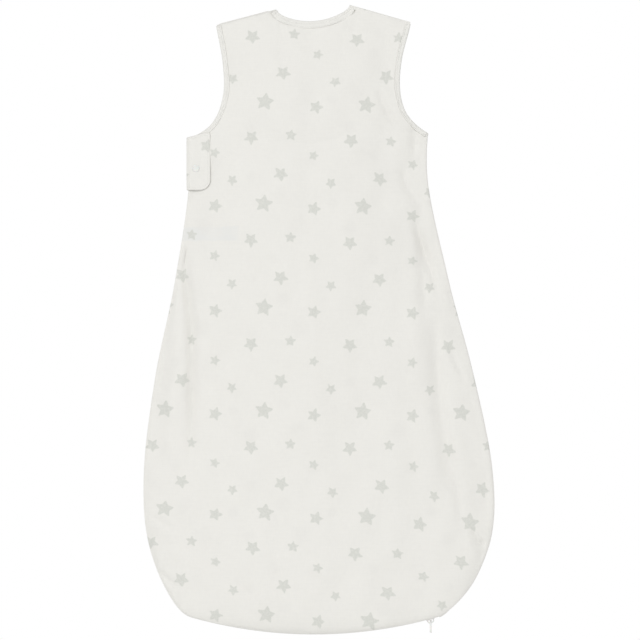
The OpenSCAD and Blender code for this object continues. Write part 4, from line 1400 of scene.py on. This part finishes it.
class BAG_OT_zip(SewPiece, bpy.types.Operator):
    """Lay the zip down the left side and along the hem"""
    bl_idname = "bag.zip"
    bl_label = "Zip"

    def execute(self, context):
        paint = finishes(context.scene)
        path, inwards = rim_path()
        length = np.concatenate([[0], np.cumsum(np.linalg.norm(np.diff(path, axis=0), axis=1))])
        from_top = ZIP_TOP_Z - path[:, 1]
        taped, coiled = from_top > TAPE_CLEAR, from_top > ZIP_PIN
        for side, word in ((BACK, "back"), (FRONT, "front")):
            tape = [(1.65, 0.75), (1.6, 1.9), (1.65, 2.8), (1.95, 3.08), (2.5, 3.1), (12, 3.1),
                    (12, 2.5), (2.6, 2.5), (2.25, 2.2), (2.25, 0.75)]
            made = rim_sweep("zip_tape_" + word + "_woven", path[taped], inwards[taped],
                             [(d, y * side) for d, y in tape], [paint["tape"]])
            self.keep(made, "zip_tape_" + word, "zip_tape")
            centre = path[coiled] + inwards[coiled] * 0.8
            run = np.column_stack([centre[:, 0], np.full(len(centre), 0.78 * side), centre[:, 1]])
            if side == FRONT:
                run = run + np.column_stack([np.gradient(run[:, 0]), np.zeros(len(run)), np.gradient(run[:, 2])]) * 0.66
            ups = np.column_stack([inwards[coiled][:, 0], np.zeros(len(run)), inwards[coiled][:, 1]])
            sizes = {"Pitch": context.scene.bag_fastenings.coil_pitch, "Wire": 0.00027,
                     "Across": 0.0021, "Depth": 0.00112, "Lean": 0.35}
            coil = run_tree("zip_coil_" + word + "_loops", [(run, ups)], coil_tree(), sizes, paint["coil"])
            self.keep(coil, "zip_coil_" + word, "zip_coil")
        guard = rim_sweep("zip_guard_strip", path[taped], inwards[taped], rounded(0.8, 4.2, 0.35, (5.0, 0.1)),
                          [paint["plain"]])
        self.keep(guard, "zip_guard", "lining")
        top = (from_top > 0.2) & (from_top < ZIP_PIN - 0.3) & (length < 40)
        for node, height, y in (("zip_box", 1.9, -1.25), ("zip_pin", 1.7, 1.0)):
            outline = rounded(1.7, height, 0.45, (0.8, y))
            made = rim_sweep(node + "_end", path[top], inwards[top], outline, [paint["coil"]])
            self.keep(made, node, "zip_coil")
        stop, into = path[-1], inwards[-1]
        ahead = np.array([into[1], -into[0]])
        steps = np.linspace(0.8, 3.8, 8)
        stops = rim_sweep("zip_stops", stop + steps[:, None] * ahead, np.tile(into, (8, 1)),
                          rounded(1.7, 4.2, 0.6, (0.8, 0)), [paint["coil"]])
        self.keep(stops, "zip_end_stops", "zip_coil")
        end = hem(np.linspace(ZIP_END_U + 0.014, 1, 30))[:, [0, 2]]
        up_side = right_edge(1 - np.linspace(0, 1 / 23, 30))[1:, [0, 2]]
        sleeve, _ = even(np.concatenate([end, up_side]), 0.8)
        across = unit(averaged(plane_normals(sleeve, 1), 3))
        taper = 1 - 0.35 * smooth((np.arange(len(sleeve)) - len(sleeve) + 12) / 12)
        section = np.array(rounded(2.2, 9.6, 1.0, (-0.25, 0)))
        rings = sleeve[:, None] + (section[None, :, :1] * taper[:, None, None]) * across[:, None]
        rings = np.stack([rings[..., 0], section[None, :, 1] * taper[:, None], rings[..., 1]], -1)
        uv = np.stack(np.meshgrid(np.arange(len(sleeve)) * 0.8, np.linspace(0, 22, len(section)), indexing="ij"), -1)
        self.keep(sweep("zip_garage_sleeve", rings, uv, [paint["plain"]]), "zip_garage", "jersey")
        return {"FINISHED"}

    def keep(self, made, node, slot):
        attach(made, "bag")
        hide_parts(node)


class BAG_OT_slider(SewPiece, bpy.types.Operator):
    """Make the zip's slider, its bridge and its pull"""
    bl_idname = "bag.slider"
    bl_label = "Slider and pull"

    def execute(self, context):
        paint = finishes(context.scene)["slider"]
        self.shell(paint)
        self.bridge(paint)
        self.pull(paint)
        return {"FINISHED"}

    def shell(self, paint):
        outer = [(-2.9, 1.2), (-2.95, 0.2), (-2.9, -0.9), (-2.5, -1.25), (-1.6, -1.33), (0, -1.35), (1.6, -1.33),
                 (2.5, -1.25), (2.9, -0.9), (2.95, 0.2), (2.9, 1.2), (2.7, 1.3), (2.4, 1.2), (2.35, 0.2), (2.1, -0.25),
                 (0, -0.3), (-2.1, -0.25), (-2.35, 0.2), (-2.4, 1.2), (-2.7, 1.3)]
        rings, uv = [], []
        for x in np.concatenate([[-5, -4.9, -4.6], np.linspace(-4, 4, 14), [4.6, 4.9, 5]]):
            end = max(0, (abs(x) - 3.4) / 1.6)
            size = math.sqrt(1 - 0.75 * end ** 2)
            waist = 1 - 0.07 * math.cos(x / SLIDER_HALF * math.pi / 2) ** 2
            rings.append([(x, y * mix(0.82, 1, size) * waist, z if z > -0.4 else mix(-0.4, z, size)) for y, z in outer])
            uv.append([(x, y) for y, _ in outer])
        made = sweep("slider_shell", at_slider(rings), uv, [paint])
        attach(made, "zip_slider")
        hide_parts("slider_body")

    def bridge(self, paint):
        centre = np.array([(-3.3, -1.2), (-3.3, -1.9), (-3.15, -3.0), (-2.5, -4.0), (-1.3, -4.4), (0, -4.5),
                           (1.3, -4.4), (2.5, -4.0), (3.15, -3.0), (3.3, -1.9), (3.3, -1.2)])
        points = [2 * centre[0] - centre[1], *centre, 2 * centre[-1] - centre[-2]]
        path, _ = even(spline(points, np.linspace(0, 1, 120)), 0.35)
        across = plane_normals(path, 1)
        rings = []
        for p, n in zip(path, across):
            rings.append([(p[0] + n[0] * d, w, p[1] + n[1] * d) for d, w in rounded(1.15, 1.9, 0.45)])
        made = sweep("slider_arch", at_slider(rings), np.zeros((len(rings), len(rings[0]), 2)), [paint])
        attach(made, "zip_slider")
        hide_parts("slider_bridge")

    def pull(self, paint):
        curve = bpy.data.curves.new("pull_outline", "CURVE")
        curve.dimensions, curve.fill_mode = "2D", "BOTH"
        curve.extrude, curve.bevel_depth, curve.bevel_resolution, curve.offset = 0.00065, 0.00045, 3, -0.00045
        round_end = [(3.0 * math.sin(a), -10 - 3.0 * math.cos(a)) for a in np.linspace(-math.pi / 2, math.pi / 2, 15)]
        shoulder = [(2.6, -6.2), (2.25, -4.6), (2.25, -0.6), (1.9, 0.3), (1.1, 0.75), (-1.1, 0.75), (-1.9, 0.3),
                    (-2.25, -0.6), (-2.25, -4.6), (-2.6, -6.2)]
        hole = [(1.25 * math.cos(a), -2.9 + (2.0 + 0.2 * math.cos(2 * a)) * math.sin(a))
                for a in np.linspace(0, 2 * math.pi, 25)[:-1]]
        grip = [(1.3 * math.cos(a), -9.6 + 1.3 * math.sin(a)) for a in np.linspace(0, 2 * math.pi, 21)[:-1]]
        for outline in (round_end + shoulder, hole, grip):
            line = curve.splines.new("POLY")
            line.points.add(len(outline) - 1)
            line.use_cyclic_u = True
            for point, (y, z) in zip(line.points, outline):
                point.co = (y * MM, z * MM, 0, 1)
        flat = bpy.data.objects.new("pull_outline", curve)
        bpy.context.scene.collection.objects.link(flat)
        mesh = bpy.data.meshes.new_from_object(flat.evaluated_get(bpy.context.evaluated_depsgraph_get()))
        bpy.data.objects.remove(flat)
        points = np.array([v.co for v in mesh.vertices]) / MM
        points = np.stack([points[:, 2], points[:, 0], points[:, 1]], -1) + PIVOT
        faces = [tuple(p.vertices) for p in mesh.polygons]
        bpy.data.meshes.remove(mesh)
        made = add_mesh("slider_pull_tag", points, faces, None, [paint], mend=True)
        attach(made, "zip_pull")
        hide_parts("slider_pull")


class BAG_OT_labels(SewPiece, bpy.types.Operator):
    """Sew in the blank care and neck labels"""
    bl_idname = "bag.labels"
    bl_label = "Labels"

    def execute(self, context):
        paint = finishes(context.scene)["label"]
        jobs = (("care_label", "care_label_satin", 0.061, 0.015), ("neck_label", "neck_label_satin", 0.020, 0.022))
        for node, name, width, drop in jobs:
            low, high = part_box(node)
            a, b = np.meshgrid(np.linspace(0, 1, 36), np.linspace(0, 1, 18))
            x, z = mix(low.x, high.x, a) / MM, mix(high.z, low.z, b) / MM
            if node == "care_label":
                y = mix(high.y, low.y, a) / MM + 0.25 * np.sin(a * 9) * a
            else:
                y = (low.y + high.y) / 2 / MM + 0.5 * b ** 2 + 0.12 * np.sin(a * 7) * b
            points = np.stack([x, y, z], -1).reshape(-1, 3)
            uv = np.stack([a * width / MM, b * drop / MM], -1).reshape(-1, 2)
            made = add_mesh(name, points, grid_faces(18, 36, flip=True), uv, [paint])
            shell = made.modifiers.new("thickness", "SOLIDIFY")
            shell.thickness, shell.offset = 0.0003, 0
            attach(made, "bag")
            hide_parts(node)
        return {"FINISHED"}


def about(x, y, z):
    """Points about a place given in millimetres, as tuples in metres."""
    return lambda dx, dy, dz: ((x + dx) * MM, (y + dy) * MM, (z + dz) * MM)


CAMERA_CENTRE = (0.0067, -0.3503)
VIEW_WIDTH = 0.7128


class BAG_OT_studio(SewPiece, bpy.types.Operator):
    """Set up the floor, the lights and the camera"""
    bl_idname = "bag.studio"
    bl_label = "Studio"

    def execute(self, context):
        scene, studio = context.scene, context.scene.bag_studio
        turn = np.linspace(0, 2 * math.pi, 97)[:-1]
        points = np.stack([2300 * np.cos(turn), 2300 * np.sin(turn), np.full(96, studio.floor_height / MM)], -1)
        paint = floor_finish("studio_floor_paint", tuple(studio.floor))
        floor = add_mesh("studio_floor", points, [tuple(range(96))], None, [paint])
        data = bpy.data.cameras.new("camera")
        data.sensor_width, data.lens = 36, 36 * studio.camera_distance / VIEW_WIDTH
        data.clip_start, data.clip_end = 0.1, 60
        camera = bpy.data.objects.new("camera", data)
        camera.location = (CAMERA_CENTRE[0], -studio.camera_distance, CAMERA_CENTRE[1])
        camera.rotation_euler = (math.pi / 2, 0, 0)
        scene.collection.objects.link(camera)
        scene.camera = camera
        self.lamp("key_lamp", (-1.5, -3.2, 1.2), 2.6, studio.key)
        self.lamp("side_lamp", (2.9, -2.2, 0.2), 2.2, studio.key * 0.3)
        self.lamp("far_lamp", (1.4, 3.2, 1.2), 2.6, studio.key * 0.8)
        self.lamp("far_side_lamp", (-2.8, 2.4, 0.3), 2.2, studio.key * 0.4)
        world = bpy.data.worlds.new("studio")
        world.use_nodes = True
        nodes, links = world.node_tree.nodes, world.node_tree.links
        nodes.clear()
        seen = nodes.new("ShaderNodeBackground")
        seen.inputs["Color"].default_value, seen.inputs["Strength"].default_value = (1, 1, 1, 1), 1.0
        lit = nodes.new("ShaderNodeBackground")
        lit.inputs["Color"].default_value, lit.inputs["Strength"].default_value = (1.0, 0.998, 0.99, 1), studio.fill
        ray, pick = nodes.new("ShaderNodeLightPath"), nodes.new("ShaderNodeMixShader")
        out = nodes.new("ShaderNodeOutputWorld")
        links.new(ray.outputs["Is Camera Ray"], pick.inputs[0])
        links.new(lit.outputs[0], pick.inputs[1])
        links.new(seen.outputs[0], pick.inputs[2])
        links.new(pick.outputs[0], out.inputs[0])
        scene.world = world
        scene.view_settings.view_transform = "Standard"
        return {"FINISHED"}

    def lamp(self, name, place, size, power):
        data = bpy.data.lights.new(name, "AREA")
        data.shape, data.size, data.energy = "DISK", size, power
        lamp = bpy.data.objects.new(name, data)
        lamp.location = place
        aim = np.array([0, 0, -0.35]) - np.array(place)
        lamp.rotation_mode = "QUATERNION"
        lamp.rotation_quaternion = Vector(aim).to_track_quat("-Z", "Y")
        bpy.context.scene.collection.objects.link(lamp)


STEPS = (BAG_OT_jersey, BAG_OT_lining, BAG_OT_bindings, BAG_OT_underarm_tab, BAG_OT_shoulder_flap, BAG_OT_poppers,
         BAG_OT_zip, BAG_OT_slider, BAG_OT_labels, BAG_OT_studio)


class BAG_PT_sewing(bpy.types.Panel):
    """The bag's settings and the steps that make it"""
    bl_label = "Sleeping bag"
    bl_idname = "BAG_PT_sewing"
    bl_space_type = "VIEW_3D"
    bl_region_type = "UI"
    bl_category = "Sleeping bag"

    def draw(self, context):
        for name, group in SETTINGS.items():
            box = self.layout.box()
            box.label(text=name.replace("_", " "))
            for key in group.__annotations__:
                box.prop(getattr(context.scene, name), key)
        for step in STEPS:
            self.layout.operator(step.bl_idname)


CLASSES = (*SETTINGS.values(), *STEPS, BAG_PT_sewing)


def register():
    for cls in CLASSES:
        bpy.utils.register_class(cls)
    for name, group in SETTINGS.items():
        setattr(bpy.types.Scene, name, bpy.props.PointerProperty(type=group))


def unregister():
    for name in SETTINGS:
        delattr(bpy.types.Scene, name)
    for cls in reversed(CLASSES):
        bpy.utils.unregister_class(cls)


def main():
    register()
    for step in STEPS:
        group, name = step.bl_idname.split(".")
        getattr(getattr(bpy.ops, group), name)()


if __name__ == "__main__":
    main()
